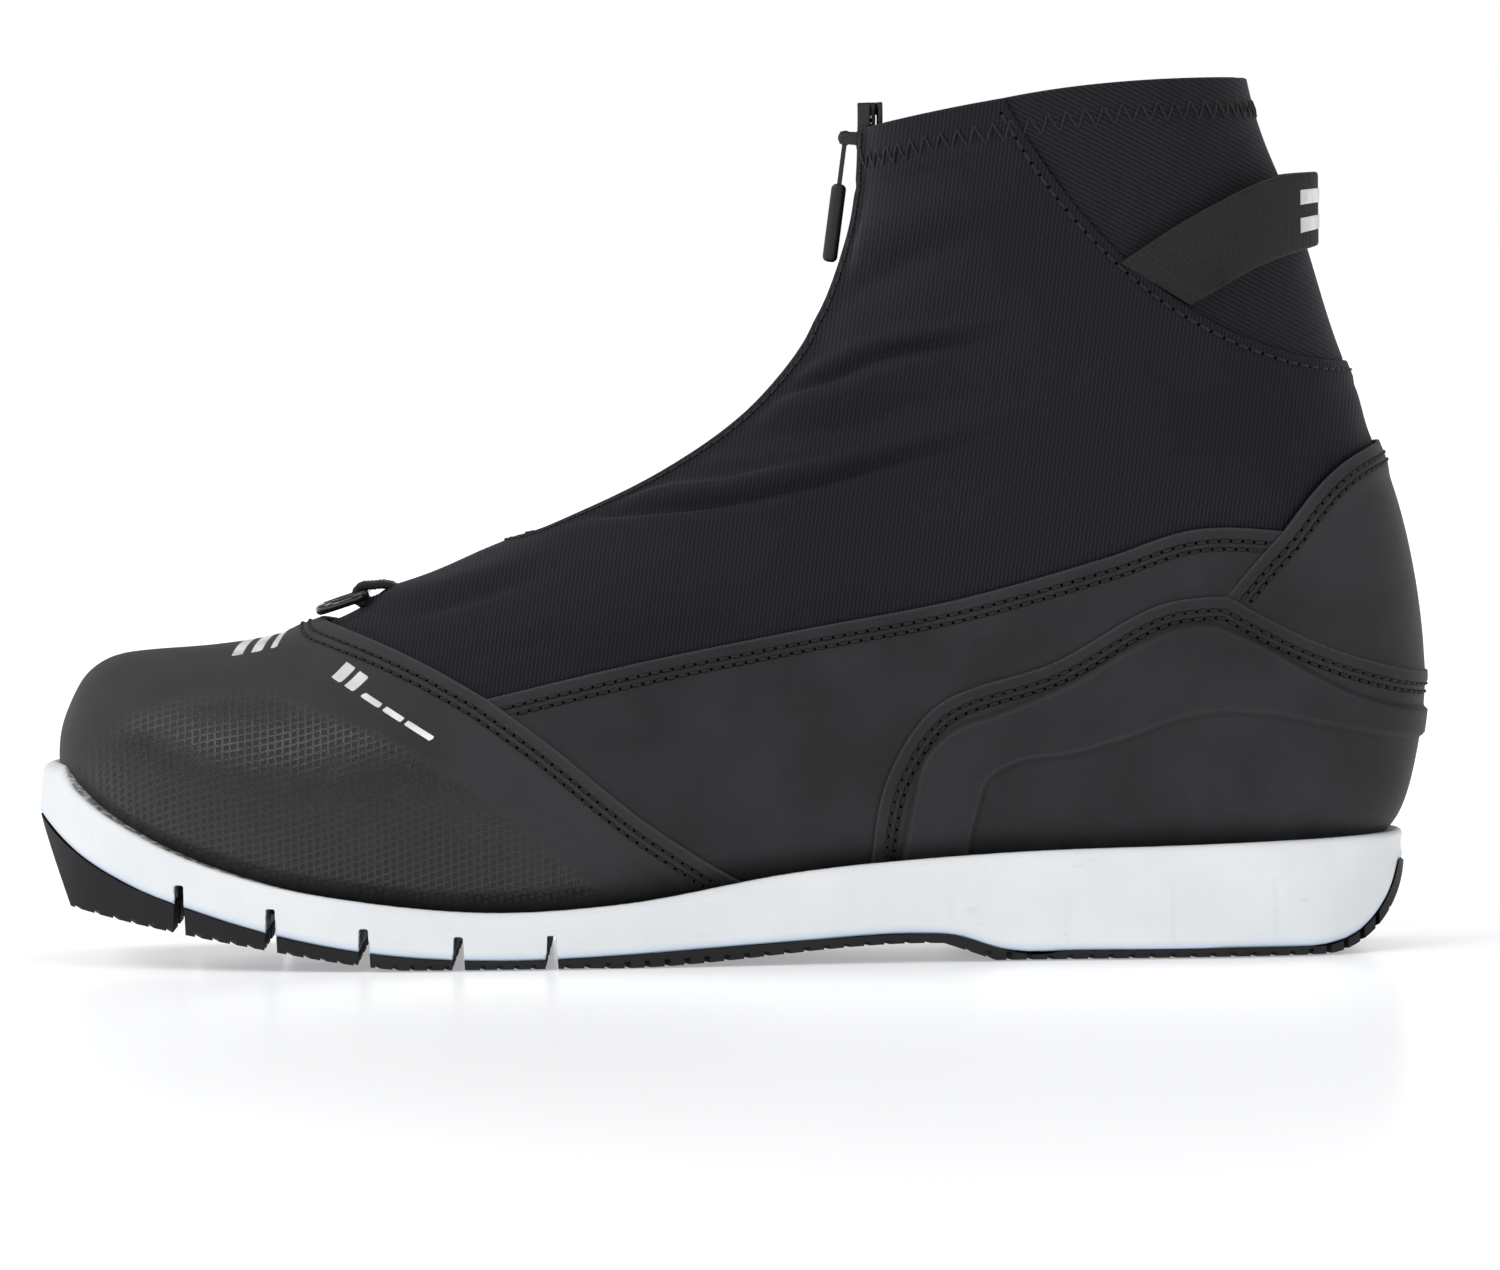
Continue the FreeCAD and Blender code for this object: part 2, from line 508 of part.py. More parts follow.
PLAN_MEDIAL = [(145.0, 0.0), (140.0, 19.0), (127.0, 30.5), (104.0, 36.0), (70.0, 36.4), (30.0, 36.0), (0.0, 38.2),
               (-30.0, 44.0), (-60.0, 48.9), (-84.0, 49.6), (-108.0, 46.2), (-128.0, 38.5), (-141.0, 28.5), (-147.5, 18.0),
               (-150.0, 5.0)]
sole_plan = plate("sole_plan", [PLAN_LATERAL, PLAN_MEDIAL], CELLAR, 60.0)
midsole_side = prism("midsole_side", [[TOE_TIP, (-148.6, 40.4), (-146.2, 42.4)], RIM_LINE, *corners([(144.6, 25.2), (143.6, 18.6)]),
                                      reversed_stretch(TREAD_END), reversed_stretch(TREAD_HEEL),
                                      reversed_stretch(TREAD_LINE), *corners([(-149.4, 31.6), TOE_TIP])])
tread_side = prism("tread_side", [GROUND_TOE, *corners([(-70.0, 0.0), (-30.0, 0.0)]), GROUND_WAIST,
                                  *corners([(45.0, 3.8), (56.0, 0.0), (126.0, 0.0)]), GROUND_END, *corners([(145.0, 18.4), (143.6, 18.6)]),
                                  reversed_stretch(TREAD_END), reversed_stretch(TREAD_HEEL), reversed_stretch(TREAD_LINE),
                                  *corners([(-149.4, 31.6), (-142.2, 12.6)])])
NOTCHES = [(-118.0, 17.8), (-98.2, 13.0), (-78.3, 8.8), (-58.2, 7.0), (-38.4, 7.0)]     # (x, roof)


def notch(number, x, roof):
    """A flex notch right across the sole, wider at its mouth."""
    top = dim("notch_width") / 2
    mouth = dim("notch_flare") / 2
    sides = [(x - top, roof), (x + top, roof), (x + mouth, CELLAR), (x - mouth, CELLAR)]
    return prism(f"notch_{number}", corners([*sides, sides[0]]))


notches = fused("notches", *[notch(number, *place) for number, place in enumerate(NOTCHES, start=1)])

# The binding's two ribs run in a pair of grooves under the forefoot.
GROOVE_ROOF = [(-121.0, 12.6), (-76.0, 5.2), (-70.0, 4.6), (-18.0, 4.6)]
groove_depth_area = [*corners(GROOVE_ROOF), *corners([(-18.0, 4.6), (-18.0, CELLAR), (-121.0, CELLAR), (-121.0, 12.6)])]
groove_parts = []
for side, sign in (("lateral", -1), ("medial", 1)):
    middle = sign * dim("groove_offset")
    half = dim("groove_width") / 2
    groove_parts.append(prism(f"groove_{side}", groove_depth_area, middle - half, middle + half))
grooves = fused("grooves", *groove_parts)

# Solid rubber above the grooves, and a springy core between it and the foot at the toe's bend.
CORE_HALF = 20.0
RUBBER_ROOF = [(-121.0, 13.9), (-76.0, 6.4), (-70.0, 5.8), (-18.0, 5.8)]
rubber_core = prism("rubber_core", [*corners(RUBBER_ROOF), *corners([(-18.0, 5.8), (-18.0, CELLAR), (-121.0, CELLAR), (-121.0, 13.9)])],
                    -CORE_HALF, CORE_HALF)
core_sides = corners([(-119.2, 13.9), (-88.0, 8.7), (-88.0, 10.6), (-119.2, 17.0), (-119.2, 13.9)])
core_block = prism("core_block", core_sides, -CORE_HALF, CORE_HALF)
node("flex_core", core_block)

SHANK_MIDDLE = 42.0                  # along the boot
SHANK_FLOOR = 9.0
CUSHION_MIDDLE = 100.0
CUSHION_FLOOR = 11.0


def rounded_slab(name, length, width, height, bend, middle, floor):
    """A PartDesign body: a rectangle sketched about its middle, padded up, its upright edges rounded.

    length, width, height and bend are aliases of the sheet.
    """
    body = doc.addObject("PartDesign::Body", name)
    sketch = body.newObject("Sketcher::SketchObject", f"{name}_sketch")
    sketch.AttachmentSupport = [(next(f for f in body.Origin.OriginFeatures if f.Role == "XY_Plane"), "")]
    sketch.MapMode = "FlatFace"
    x, y = dim(length) / 2, dim(width) / 2
    places = [Vector(-x, -y, 0), Vector(x, -y, 0), Vector(x, y, 0), Vector(-x, y, 0)]
    for start, end in zip(places, [*places[1:], places[0]]):
        sketch.addGeometry(Part.LineSegment(start, end), False)
    for line in range(4):
        sketch.addConstraint(Sketcher.Constraint("Coincident", line, 2, (line + 1) % 4, 1))
    for line, way in enumerate(("Horizontal", "Vertical", "Horizontal", "Vertical")):
        sketch.addConstraint(Sketcher.Constraint(way, line))
    sketch.addConstraint(Sketcher.Constraint("Symmetric", 0, 1, 1, 2, -1, 1))
    long_side = sketch.addConstraint(Sketcher.Constraint("Distance", 0, 2 * x))
    short_side = sketch.addConstraint(Sketcher.Constraint("Distance", 1, 2 * y))
    sketch.setExpression(f"Constraints[{long_side}]", f"dims.{length}")
    sketch.setExpression(f"Constraints[{short_side}]", f"dims.{width}")
    pad = body.newObject("PartDesign::Pad", f"{name}_pad")
    pad.Profile = sketch
    pad.setExpression("Length", f"dims.{height}")
    doc.recompute()
    upright = [f"Edge{number}" for number, edge in enumerate(pad.Shape.Edges, start=1)
               if abs(edge.tangentAt(edge.FirstParameter).z) > 0.99]
    rounding = body.newObject("PartDesign::Fillet", f"{name}_rounding")
    rounding.Base = (pad, upright)
    rounding.setExpression("Radius", f"dims.{bend}")
    body.Tip = rounding
    body.Placement = Placement(Vector(middle, 0, floor), Rotation())
    return body


shank_block = rounded_slab("shank_body", "shank_length", "shank_width", "shank_depth", "shank_bend", SHANK_MIDDLE, SHANK_FLOOR)
node("shank", shank_block)
cushion_round = rounded_slab("cushion_body", "cushion_length", "cushion_width", "cushion_depth", "cushion_bend",
                             CUSHION_MIDDLE, CUSHION_FLOOR)
node("heel_cushion", cushion_round)

midsole_blank = common("midsole_blank", sole_plan, midsole_side)
toe_block_reach = box("toe_block_reach", (WEST, NOTCHES[0][0]), (-FAR, FAR), (CELLAR, CEILING))
midsole_body = without("midsole_body", midsole_blank, last_outer, notches, rubber_core, core_block, shank_block, cushion_round)
tread_skin = common("tread_skin", sole_plan, tread_side)
core_upper = common("core_upper", sole_plan, rubber_core, midsole_side)
tread_cut = without("tread_cut", fused("tread_blank", tread_skin, core_upper), notches, grooves)

# The toe bar crosses a pocket under the toe; its ends are moulded into the rubber block.
BAR = (dim("bar_x"), dim("bar_z"))
bar_rod = doc.addObject("Part::Cylinder", "bar_rod")
bar_rod.setExpression("Radius", "dims.bar_diameter / 2")
bar_rod.setExpression("Height", "dims.bar_length")
bar_rod.Placement = Placement(Vector(BAR[0], -dim("bar_length") / 2, BAR[1]), Rotation(Vector(1, 0, 0), -90))
node("toe_bar", bar_rod)
POCKET_WALL = 6.5                    # free space in front of and behind the bar's centre
bar_pocket = box("bar_pocket", (BAR[0] - POCKET_WALL, BAR[0] + POCKET_WALL),
                 (-dim("bar_gap") / 2, dim("bar_gap") / 2), (CELLAR, BAR[1] + 4.2))
tread_ready = without("tread_ready", tread_cut, bar_pocket, bar_rod)
node("midsole", without("midsole_shell", midsole_body, bar_pocket, bar_rod))
bounds = [WEST, *[x for x, roof in NOTCHES], EAST]
names = ["toe_block", "tread_block_1", "tread_block_2", "tread_block_3", "tread_block_4", "outsole_heel"]
for name, start, end in zip(names, bounds, bounds[1:]):
    reach = box(f"{name}_reach", (start, end), (-FAR, FAR), (CELLAR, CEILING))
    node(name, common(f"{name}_rubber", tread_ready, reach))

# ---------------------------------------------------------------- zip
coil_width = dim("coil_width")
zip_low = dim("zip_bottom")
zip_high = dim("zip_top")
COIL_GAP = 0.75
TAPE_GAP = 0.9
for side, sign in (("lateral", -1), ("medial", 1)):
    tape_rect = rectangle(tape_face, tape_back, sign * TAPE_GAP, sign * tape_edge)
    node(f"zip_tape_{side}", zip_arc(f"tape_{side}", tape_rect, zip_low, zip_high))
    coil_rect = rectangle(coil_face, tape_face, sign * COIL_GAP, sign * coil_width)
    node(f"zip_coil_{side}", zip_arc(f"coil_{side}", coil_rect, zip_low + 1.5, zip_high - 1.2))
stop_rect = rectangle(coil_face - 0.4, tape_face, -coil_width - 0.3, coil_width + 0.3)
node("zip_bottom_stop", zip_arc("bottom_stop", stop_rect, zip_low + 0.2, zip_low + 1.5))
STOP_NEAR = 0.8                      # the top stops leave room for the slider's post
STOP_FAR = 1.7
top_stops = [zip_arc(f"top_stop_{side}", rectangle(coil_face - 0.2, tape_face, sign * STOP_NEAR, sign * STOP_FAR),
                     zip_high - 1.15, zip_high - 0.3)
             for side, sign in (("lateral", -1), ("medial", 1))]
top_pair = doc.addObject("Part::Compound", "top_pair")
top_pair.Links = top_stops
node("zip_top_stops", top_pair)

slider_at = dim("slider_angle")
slider_low = slider_at - dim("slider_arc") / 2
slider_high = slider_at + dim("slider_arc") / 2
half = dim("slider_half")
channel = coil_width + ROOM
plate_front = coil_face - 2.0
plate_back = tape_back + 1.6
slider_outline = [(plate_front, -half), (tape_face - ROOM, -half), (tape_face - ROOM, -channel), (coil_face - ROOM, -channel),
                  (coil_face - ROOM, channel), (tape_face - ROOM, channel), (tape_face - ROOM, half), (plate_front, half)]
slider_top = zip_arc("slider_top", slider_outline, slider_low, slider_high)
slider_bottom = zip_arc("slider_bottom", rectangle(tape_back + ROOM, plate_back, -half, half), slider_low, slider_high)
slider_post = zip_arc("slider_post", rectangle(plate_front, plate_back, -0.4, 0.4), slider_high - 1.6, slider_high)

PIVOT_RADIUS = 87.4                  # the pull's pin, from the zip's axis
PIVOT_ANGLE = -3.7
LUG_INSIDE = 2.0
LUG_OUTSIDE = 2.9
PIN_RADIUS = 0.6
EYE_RADIUS = 1.6
PULL_ANGLE = -98.0                   # the way the pull hangs, degrees above level
LINK_HALF = 1.6
LINK_LENGTH = 13.0
GRIP_START = 10.0
GRIP_LENGTH = 17.0
GRIP_HALF = 3.3
GRIP_DEPTH = 3.2
pivot = ZIP_CENTRE + Vector(math.cos(math.radians(PIVOT_ANGLE)), 0, math.sin(math.radians(PIVOT_ANGLE))) * PIVOT_RADIUS
pull_place = Placement(pivot, Rotation(Vector(0, 1, 0), -PULL_ANGLE))


def cross_pin(name, radius, half_length, centre):
    """A round bar lying across the boot."""
    bar = doc.addObject("Part::Cylinder", name)
    bar.Radius = radius
    bar.Height = 2 * half_length
    bar.Placement = Placement(centre - Vector(0, half_length, 0), Rotation(Vector(1, 0, 0), -90))
    return bar


def pull_box(name, start, length, half_width, depth):
    """A box along the hanging pull, measured from its pin."""
    block = doc.addObject("Part::Box", name)
    block.Length = length
    block.Width = 2 * half_width
    block.Height = depth
    block.Placement = pull_place.multiply(Placement(Vector(start, -half_width, -depth / 2), Rotation()))
    return block


lugs = [zip_arc(f"lug_{side}", rectangle(PIVOT_RADIUS - 1.2, plate_front + 0.2, sign * LUG_INSIDE, sign * LUG_OUTSIDE),
                PIVOT_ANGLE - 0.9, PIVOT_ANGLE + 0.9) for side, sign in (("lateral", -1), ("medial", 1))]
slider_pin = cross_pin("slider_pin", PIN_RADIUS, LUG_OUTSIDE, pivot)
node("zip_slider", fused("slider_body", slider_top, slider_bottom, slider_post, *lugs, slider_pin))
link_whole = fused("link_whole", cross_pin("link_eye", EYE_RADIUS, LINK_HALF, pivot),
                   pull_box("link_arm", 0.0, LINK_LENGTH, LINK_HALF, 1.0))
link_hole = cross_pin("link_hole", PIN_RADIUS + ROOM, LINK_HALF + 1.0, pivot)
pull_link = node("zip_pull_link", without("pull_link_body", link_whole, link_hole))
grip_blank = pull_box("grip_blank", GRIP_START, GRIP_LENGTH, GRIP_HALF, GRIP_DEPTH)
grip_round = doc.addObject("Part::Fillet", "grip_round")
grip_round.Base = grip_blank
grip_round.Edges = [(number, 1.2, 1.2) for number in range(1, 13)]
node("zip_pull_grip", without("grip_body", grip_round, pull_link))

# ---------------------------------------------------------------- gaiter ring and its tab
RING_ANGLE = 198.0                   # the ring leans forward and down from its bar
RING_FRONT_BEND = 4.5
RING_BACK_BEND = 2.6
ring_radius = dim("ring_wire") / 2
ring_centre = Vector(dim("ring_x"), 0, dim("ring_z"))
ring_place = Placement(ring_centre, Rotation(Vector(0, 1, 0), -RING_ANGLE))


def rounded_loop(length, half, front_bend, back_bend):
    """Closed D-shaped path in the local XY plane, its straight bar along Y at the origin."""
    def arc(centre_x, centre_y, bend, start):
        return Part.ArcOfCircle(Part.Circle(Vector(centre_x, centre_y, 0), Vector(0, 0, 1), bend),
                                math.radians(start), math.radians(start + 90)).toShape()

    def line(x1, y1, x2, y2):
        return Part.LineSegment(Vector(x1, y1, 0), Vector(x2, y2, 0)).toShape()

    front = length - front_bend
    return [line(0, 0, 0, -half + back_bend), arc(back_bend, -half + back_bend, back_bend, 180),
            line(back_bend, -half, front, -half), arc(front, -half + front_bend, front_bend, 270),
            line(length, -half + front_bend, length, half - front_bend), arc(front, half - front_bend, front_bend, 0),
            line(front, half, back_bend, half), arc(back_bend, half - back_bend, back_bend, 90),
            line(0, half - back_bend, 0, 0)]


ring_path = Part.Wire(Part.__sortEdges__(rounded_loop(dim("ring_reach"), dim("ring_width") / 2, RING_FRONT_BEND, RING_BACK_BEND)))
ring_profile = Part.Wire(Part.Circle(Vector(0, 0, 0), Vector(0, 1, 0), ring_radius).toShape())
gaiter_ring = doc.addObject("Part::Feature", "gaiter_ring_wire")
gaiter_ring.Shape = ring_path.makePipeShell([ring_profile], True, False)
gaiter_ring.Placement = ring_place
node("gaiter_ring", gaiter_ring)
TAB_HALF = 6.0
TAB_CLOTH = 0.75
tab_tube = cross_pin("tab_tube", ring_radius + ROOM + TAB_CLOTH, TAB_HALF, ring_centre)
tab_hole = cross_pin("tab_hole", ring_radius + ROOM, TAB_HALF + 1.0, ring_centre)
tab_flap = prism("tab_flap", corners([(-79.0, 76.2), (-77.4, 80.0), (-74.4, 80.6), (-72.4, 79.4), (-72.4, 76.0),
                                      (-79.0, 73.0), (-79.0, 76.2)]), -TAB_HALF, TAB_HALF)
node("ring_tab", without("tab_body", fused("tab_whole", tab_tube, tab_flap), tab_hole, last_outer))

# ---------------------------------------------------------------- heel pull loop
LOOP_UPPER = [(85.3, 149.0), (102.8, 159.6), (119.1, 166.3), (134.0, 167.0)]
LOOP_LOWER = [(99.3, 139.1), (115.6, 147.8), (134.0, 152.6)]
LOOP_FRONT = (84.0, 38.9)            # inner face of the strap at its sewn end, (x, y)
LOOP_BACK = 126.6                    # inner face of the strap behind the heel
LOOP_POWER = 2.35
loop_depth = dim("webbing_depth")
loop_axis = (dim("loop_x"), dim("loop_z"))


def strap_ring(extra):
    """Plan-view points from the outer side, round the heel, to the inner side."""
    points = []
    for step in range(13):
        turn = math.pi * step / 12
        x = LOOP_FRONT[0] + (LOOP_BACK + extra - LOOP_FRONT[0]) * abs(math.sin(turn)) ** (2 / LOOP_POWER)
        side = -1 if step < 6 else 1
        points.append((x, side * (LOOP_FRONT[1] + extra) * abs(math.cos(turn)) ** (2 / LOOP_POWER)))
    return points


outer_ring = strap_ring(loop_depth)
inner_ring = strap_ring(0.0)
loop_wall = plate("loop_wall", [outer_ring, *corners([outer_ring[-1], inner_ring[-1]]), reversed_stretch(inner_ring)], 120.0, 190.0)
loop_band = prism("loop_band", [LOOP_UPPER, *corners([LOOP_UPPER[-1], LOOP_LOWER[-1]]), reversed_stretch(LOOP_LOWER),
                                *corners([LOOP_LOWER[0], LOOP_UPPER[0]])])
node("heel_pull_loop", common("pull_loop_strap", loop_wall, loop_band))
ANCHOR_DEPTH = 8.0                   # before it is cut back to the skin
ANCHOR_FACE = LOOP_FRONT[1] - 1.2    # its outer face, from the centre line, clear of the strap
for side, start in (("lateral", -ANCHOR_FACE), ("medial", ANCHOR_FACE - ANCHOR_DEPTH)):
    disc = doc.addObject("Part::Cylinder", f"anchor_disc_{side}")
    disc.setExpression("Radius", "dims.anchor_radius")
    disc.Height = ANCHOR_DEPTH
    disc.Placement = Placement(Vector(loop_axis[0], start, loop_axis[1]), Rotation(Vector(1, 0, 0), -90))
    node(f"loop_anchor_{side}", without(f"anchor_{side}", disc, last_outer))

# ---------------------------------------------------------------- lace loops on the eyestays
# Each is (degrees above level, radius from the zip's axis); they hang between the cover and the tongue.
LACE_LOOPS = [(-20.0, 97.7), (-33.0, 99.4), (-46.0, 98.4), (-59.0, 96.8), (-72.0, 96.0)]
for side, sign in (("lateral", -1), ("medial", 1)):
    rings = []
    for number, (angle, radius) in enumerate(LACE_LOOPS, start=1):
        ring = doc.addObject("Part::Torus", f"lace_loop_{side}_{number}")
        ring.setExpression("Radius1", "dims.lace_loop_radius")
        ring.setExpression("Radius2", "dims.lace_loop_wire / 2")
        outwards = Rotation(Vector(0, 1, 0), -angle)
        centre = ZIP_CENTRE + outwards.multVec(Vector(radius, sign * dim("lace_loop_offset"), 0))
        ring.Placement = Placement(centre, outwards.multiply(Rotation(Vector(0, 1, 0), 90)))
        rings.append(ring)
    group = doc.addObject("Part::Compound", f"lace_loop_row_{side}")
    group.Links = rings
    node(f"lace_loops_{side}", group)

# ---------------------------------------------------------------- check and write
doc.recompute()
for item in doc.Objects:
    if {"Invalid", "Error"} & set(item.State):
        raise RuntimeError(f"{item.Name} failed: {item.State}")
for label, feature in NODES.items():
    shape = feature.Shape
    if shape.isNull() or not shape.isValid() or shape.Volume <= 0:
        raise RuntimeError(f"{label} has no valid solid")
os.makedirs("parts", exist_ok=True)
for label, feature in NODES.items():
    feature.Shape.exportStep(f"parts/{label}.step")
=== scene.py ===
import math

import bmesh
import bpy
import numpy as np
from mathutils import Matrix, Vector
from mathutils.geometry import delaunay_2d_cdt


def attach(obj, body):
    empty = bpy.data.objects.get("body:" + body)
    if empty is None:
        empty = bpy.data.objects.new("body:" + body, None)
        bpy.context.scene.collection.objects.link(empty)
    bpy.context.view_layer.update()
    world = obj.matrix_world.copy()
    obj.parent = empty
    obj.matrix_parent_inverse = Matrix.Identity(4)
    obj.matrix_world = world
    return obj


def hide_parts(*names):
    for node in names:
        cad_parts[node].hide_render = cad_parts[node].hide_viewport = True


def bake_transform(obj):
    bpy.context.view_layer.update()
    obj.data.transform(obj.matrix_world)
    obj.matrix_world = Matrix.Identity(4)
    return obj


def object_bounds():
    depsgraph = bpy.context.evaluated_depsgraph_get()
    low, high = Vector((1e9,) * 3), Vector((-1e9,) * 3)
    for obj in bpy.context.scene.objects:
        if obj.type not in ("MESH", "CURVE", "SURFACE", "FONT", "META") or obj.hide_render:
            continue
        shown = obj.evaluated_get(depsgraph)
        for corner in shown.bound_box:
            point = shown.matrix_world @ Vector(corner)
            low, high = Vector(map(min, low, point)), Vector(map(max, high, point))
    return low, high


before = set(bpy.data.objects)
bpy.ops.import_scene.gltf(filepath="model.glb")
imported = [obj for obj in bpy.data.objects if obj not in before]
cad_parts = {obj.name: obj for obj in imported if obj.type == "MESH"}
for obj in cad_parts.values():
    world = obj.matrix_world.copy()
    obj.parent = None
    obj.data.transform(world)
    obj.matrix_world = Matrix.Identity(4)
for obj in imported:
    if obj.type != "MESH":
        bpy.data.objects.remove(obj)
cad_box = [list(corner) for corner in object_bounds()]

# Cross country ski boot. The shapes below are worked out in millimetres, in the CAD's own frame,
# and turned into metres where a mesh is made.
MM = 0.001


# ---------------------------------------------------------------- small helpers
def hermite(t, gap, start, end, start_slope, end_slope):
    """The cubic from start to end at the share t of a stretch `gap` long."""
    return ((2*t**3 - 3*t**2 + 1) * start + (t**3 - 2*t**2 + t) * gap * start_slope
            + (3*t**2 - 2*t**3) * end + (t**3 - t**2) * gap * end_slope)


def run_of(points):
    """Distance along a line of points, from its start to each of them."""
    return np.concatenate([[0], np.cumsum(np.linalg.norm(np.diff(points, axis=0), axis=1))])


def unit(vectors):
    return vectors / np.maximum(np.linalg.norm(vectors, axis=-1, keepdims=True), 1e-9)


def step_up(value, low, high):
    """0 below `low`, 1 above `high`, eased in between."""
    t = np.clip((value - low) / (high - low), 0, 1)
    return t * t * (3 - 2 * t)


def bell(value, centre, width):
    """1 at the centre, falling off smoothly on both sides."""
    return np.exp(-((value - centre) / width) ** 2)


def least(*values):
    return np.minimum.reduce(values)


def bilinear(table, row, column):
    """A table read between its entries."""
    row = np.clip(row, 0, table.shape[0] - 1.001)
    column = np.clip(column, 0, table.shape[1] - 1.001)
    i, j = row.astype(int), column.astype(int)
    s, t = row - i, column - j
    return ((table[i, j] * (1 - s) + table[i + 1, j] * s) * (1 - t)
            + (table[i, j + 1] * (1 - s) + table[i + 1, j + 1] * s) * t)


def lofted(steps, around):
    """Faces of a tube of `steps` rings with `around` corners each, and of its two ends."""
    index = np.arange(steps * around).reshape(steps, around)
    ahead = np.roll(index, -1, axis=1)
    sides = np.stack([index[:-1], ahead[:-1], ahead[1:], index[1:]], axis=-1).reshape(-1, 4)
    return [sides, index[0][None, ::-1], index[-1][None]]


# ---------------------------------------------------------------- the last
# The upper's outer skin is one cubic B-spline surface. Its control sections run from the toe's tip
# to the collar; each holds two profile points (x, z), the half widths to the outer and the inner
# side, a sideways shift, how far up it is widest, and how square it is above and below that.
STATIONS = [
    (-145.5, 44.56, -145.5, 44.44, 0.12, 0.12, 6.0, 0.45, 2.0, 2.0),
    (-144.8, 50.0, -144.8, 39.0, 9.5, 9.5, 6.0, 0.45, 2.1, 2.2),
    (-142.8, 55.5, -142.8, 35.8, 16.5, 16.5, 6.0, 0.42, 2.1, 2.4),
    (-139.3, 61.5, -139.3, 31.5, 23.0, 23.0, 6.0, 0.40, 2.2, 2.7),
    (-133.5, 65.2, -133.5, 27.0, 29.8, 29.8, 5.8, 0.39, 2.3, 3.0),
    (-125.0, 66.5, -125.0, 22.3, 36.0, 36.0, 5.2, 0.38, 2.3, 3.3),
    (-112.0, 67.4, -112.0, 17.3, 41.3, 41.3, 3.9, 0.36, 2.3, 3.6),
    (-97.0, 69.8, -97.0, 13.0, 44.4, 44.4, 2.3, 0.34, 2.2, 4.0),
    (-80.0, 75.8, -80.0, 10.1, 46.0, 45.5, 0.9, 0.32, 2.1, 4.3),
    (-60.0, 84.3, -60.0, 8.0, 47.0, 45.5, 0.0, 0.30, 2.05, 4.5),
    (-40.0, 92.8, -40.0, 7.7, 46.0, 42.5, 0.0, 0.28, 2.05, 4.5),
    (-20.0, 101.2, -20.0, 9.4, 42.5, 38.6, 0.0, 0.27, 2.05, 4.5),
    (-7.0, 108.7, 13.0, 15.0, 38.6, 35.6, 0.0, 0.27, 2.1, 4.5),
    (3.8, 117.0, 47.7, 18.0, 36.0, 34.2, 0.0, 0.30, 2.15, 4.6),
    (11.8, 125.8, 90.0, 18.7, 35.6, 34.6, 0.0, 0.33, 2.2, 4.4),
    (16.5, 132.5, 124.0, 19.2, 36.2, 35.5, 0.0, 0.38, 2.2, 3.6),
    (18.8, 136.6, 141.5, 24.5, 36.7, 36.0, 0.0, 0.42, 2.25, 2.9),
    (20.6, 139.6, 148.0, 40.0, 37.0, 36.5, 0.0, 0.44, 2.25, 2.6),
    (22.6, 143.6, 150.3, 63.6, 37.3, 37.0, 0.0, 0.46, 2.25, 2.5),
    (25.3, 150.4, 144.8, 96.7, 37.5, 37.3, 0.0, 0.48, 2.25, 2.4),
    (27.6, 157.4, 132.0, 129.0, 37.3, 37.1, 0.0, 0.50, 2.25, 2.3),
    (28.9, 165.0, 124.3, 155.0, 37.0, 37.0, 0.0, 0.50, 2.25, 2.3),
    (29.5, 172.6, 115.2, 177.0, 36.6, 36.6, 0.0, 0.50, 2.25, 2.3),
    (29.5, 181.0, 110.5, 198.5, 36.2, 36.2, 0.0, 0.50, 2.25, 2.3),
]
FILL = 3                             # control sections in each stretch between two stations
AROUND = 36                          # control points round one section


def control_sections():
    rows = np.array(STATIONS)
    step = np.sqrt(np.hypot(*np.diff(rows[:, :2], axis=0).T) + np.hypot(*np.diff(rows[:, 2:4], axis=0).T))
    knots = np.concatenate([[0.0], np.cumsum(step)])
    low = np.maximum(np.arange(len(rows)) - 1, 0)
    high = np.minimum(np.arange(len(rows)) + 1, len(rows) - 1)
    slopes = (rows[high] - rows[low]) / (knots[high] - knots[low])[:, None]
    dense = []
    for k in range(len(rows) - 1):
        gap = knots[k + 1] - knots[k]
        for t in np.arange(FILL) / FILL:
            dense.append(hermite(t, gap, rows[k], rows[k + 1], slopes[k], slopes[k + 1]))
    return np.array(dense + [rows[-1]])


def control_points():
    turn = 2 * np.pi * np.arange(AROUND) / AROUND
    rings = []
    for fx, fz, bx, bz, lateral, medial, shift, widest, front_power, back_power in control_sections():
        upper = np.sin(turn) > -1e-9
        power = np.where(upper, front_power, back_power)
        rise = np.abs(np.sin(turn)) ** (2 / power)
        reach = np.abs(np.cos(turn)) ** (2 / power)
        up = np.where(upper, widest + (1 - widest) * rise, widest * (1 - rise))
        half = np.where(np.cos(turn) >= 0, medial, -lateral)
        rings.append(np.stack([bx + up * (fx - bx), shift + half * reach, bz + up * (fz - bz)], axis=1))
    return np.array(rings)


POLES = control_points()
ALONG = len(POLES)
U_END = float(ALONG - 3)
U_KNOTS = np.concatenate([[0.0] * 3, np.arange(ALONG - 2), [U_END] * 3])


def clamped_basis(u, degree):
    """Values of the basis functions that aren't zero at each u."""
    span = np.clip(np.floor(u).astype(int), 0, ALONG - 4) + 3
    values = [np.ones_like(u)]
    for d in range(1, degree + 1):
        left = [u - U_KNOTS[span + 1 - j] for j in range(d, 0, -1)]
        right = [U_KNOTS[span + j] - u for j in range(1, d + 1)]
        raised = [np.zeros_like(u) for _ in range(d + 1)]
        for j in range(d):
            share = values[j] / (right[j] + left[j])
            raised[j] = raised[j] + right[j] * share
            raised[j + 1] = raised[j + 1] + left[j] * share
        values = raised
    return span, values


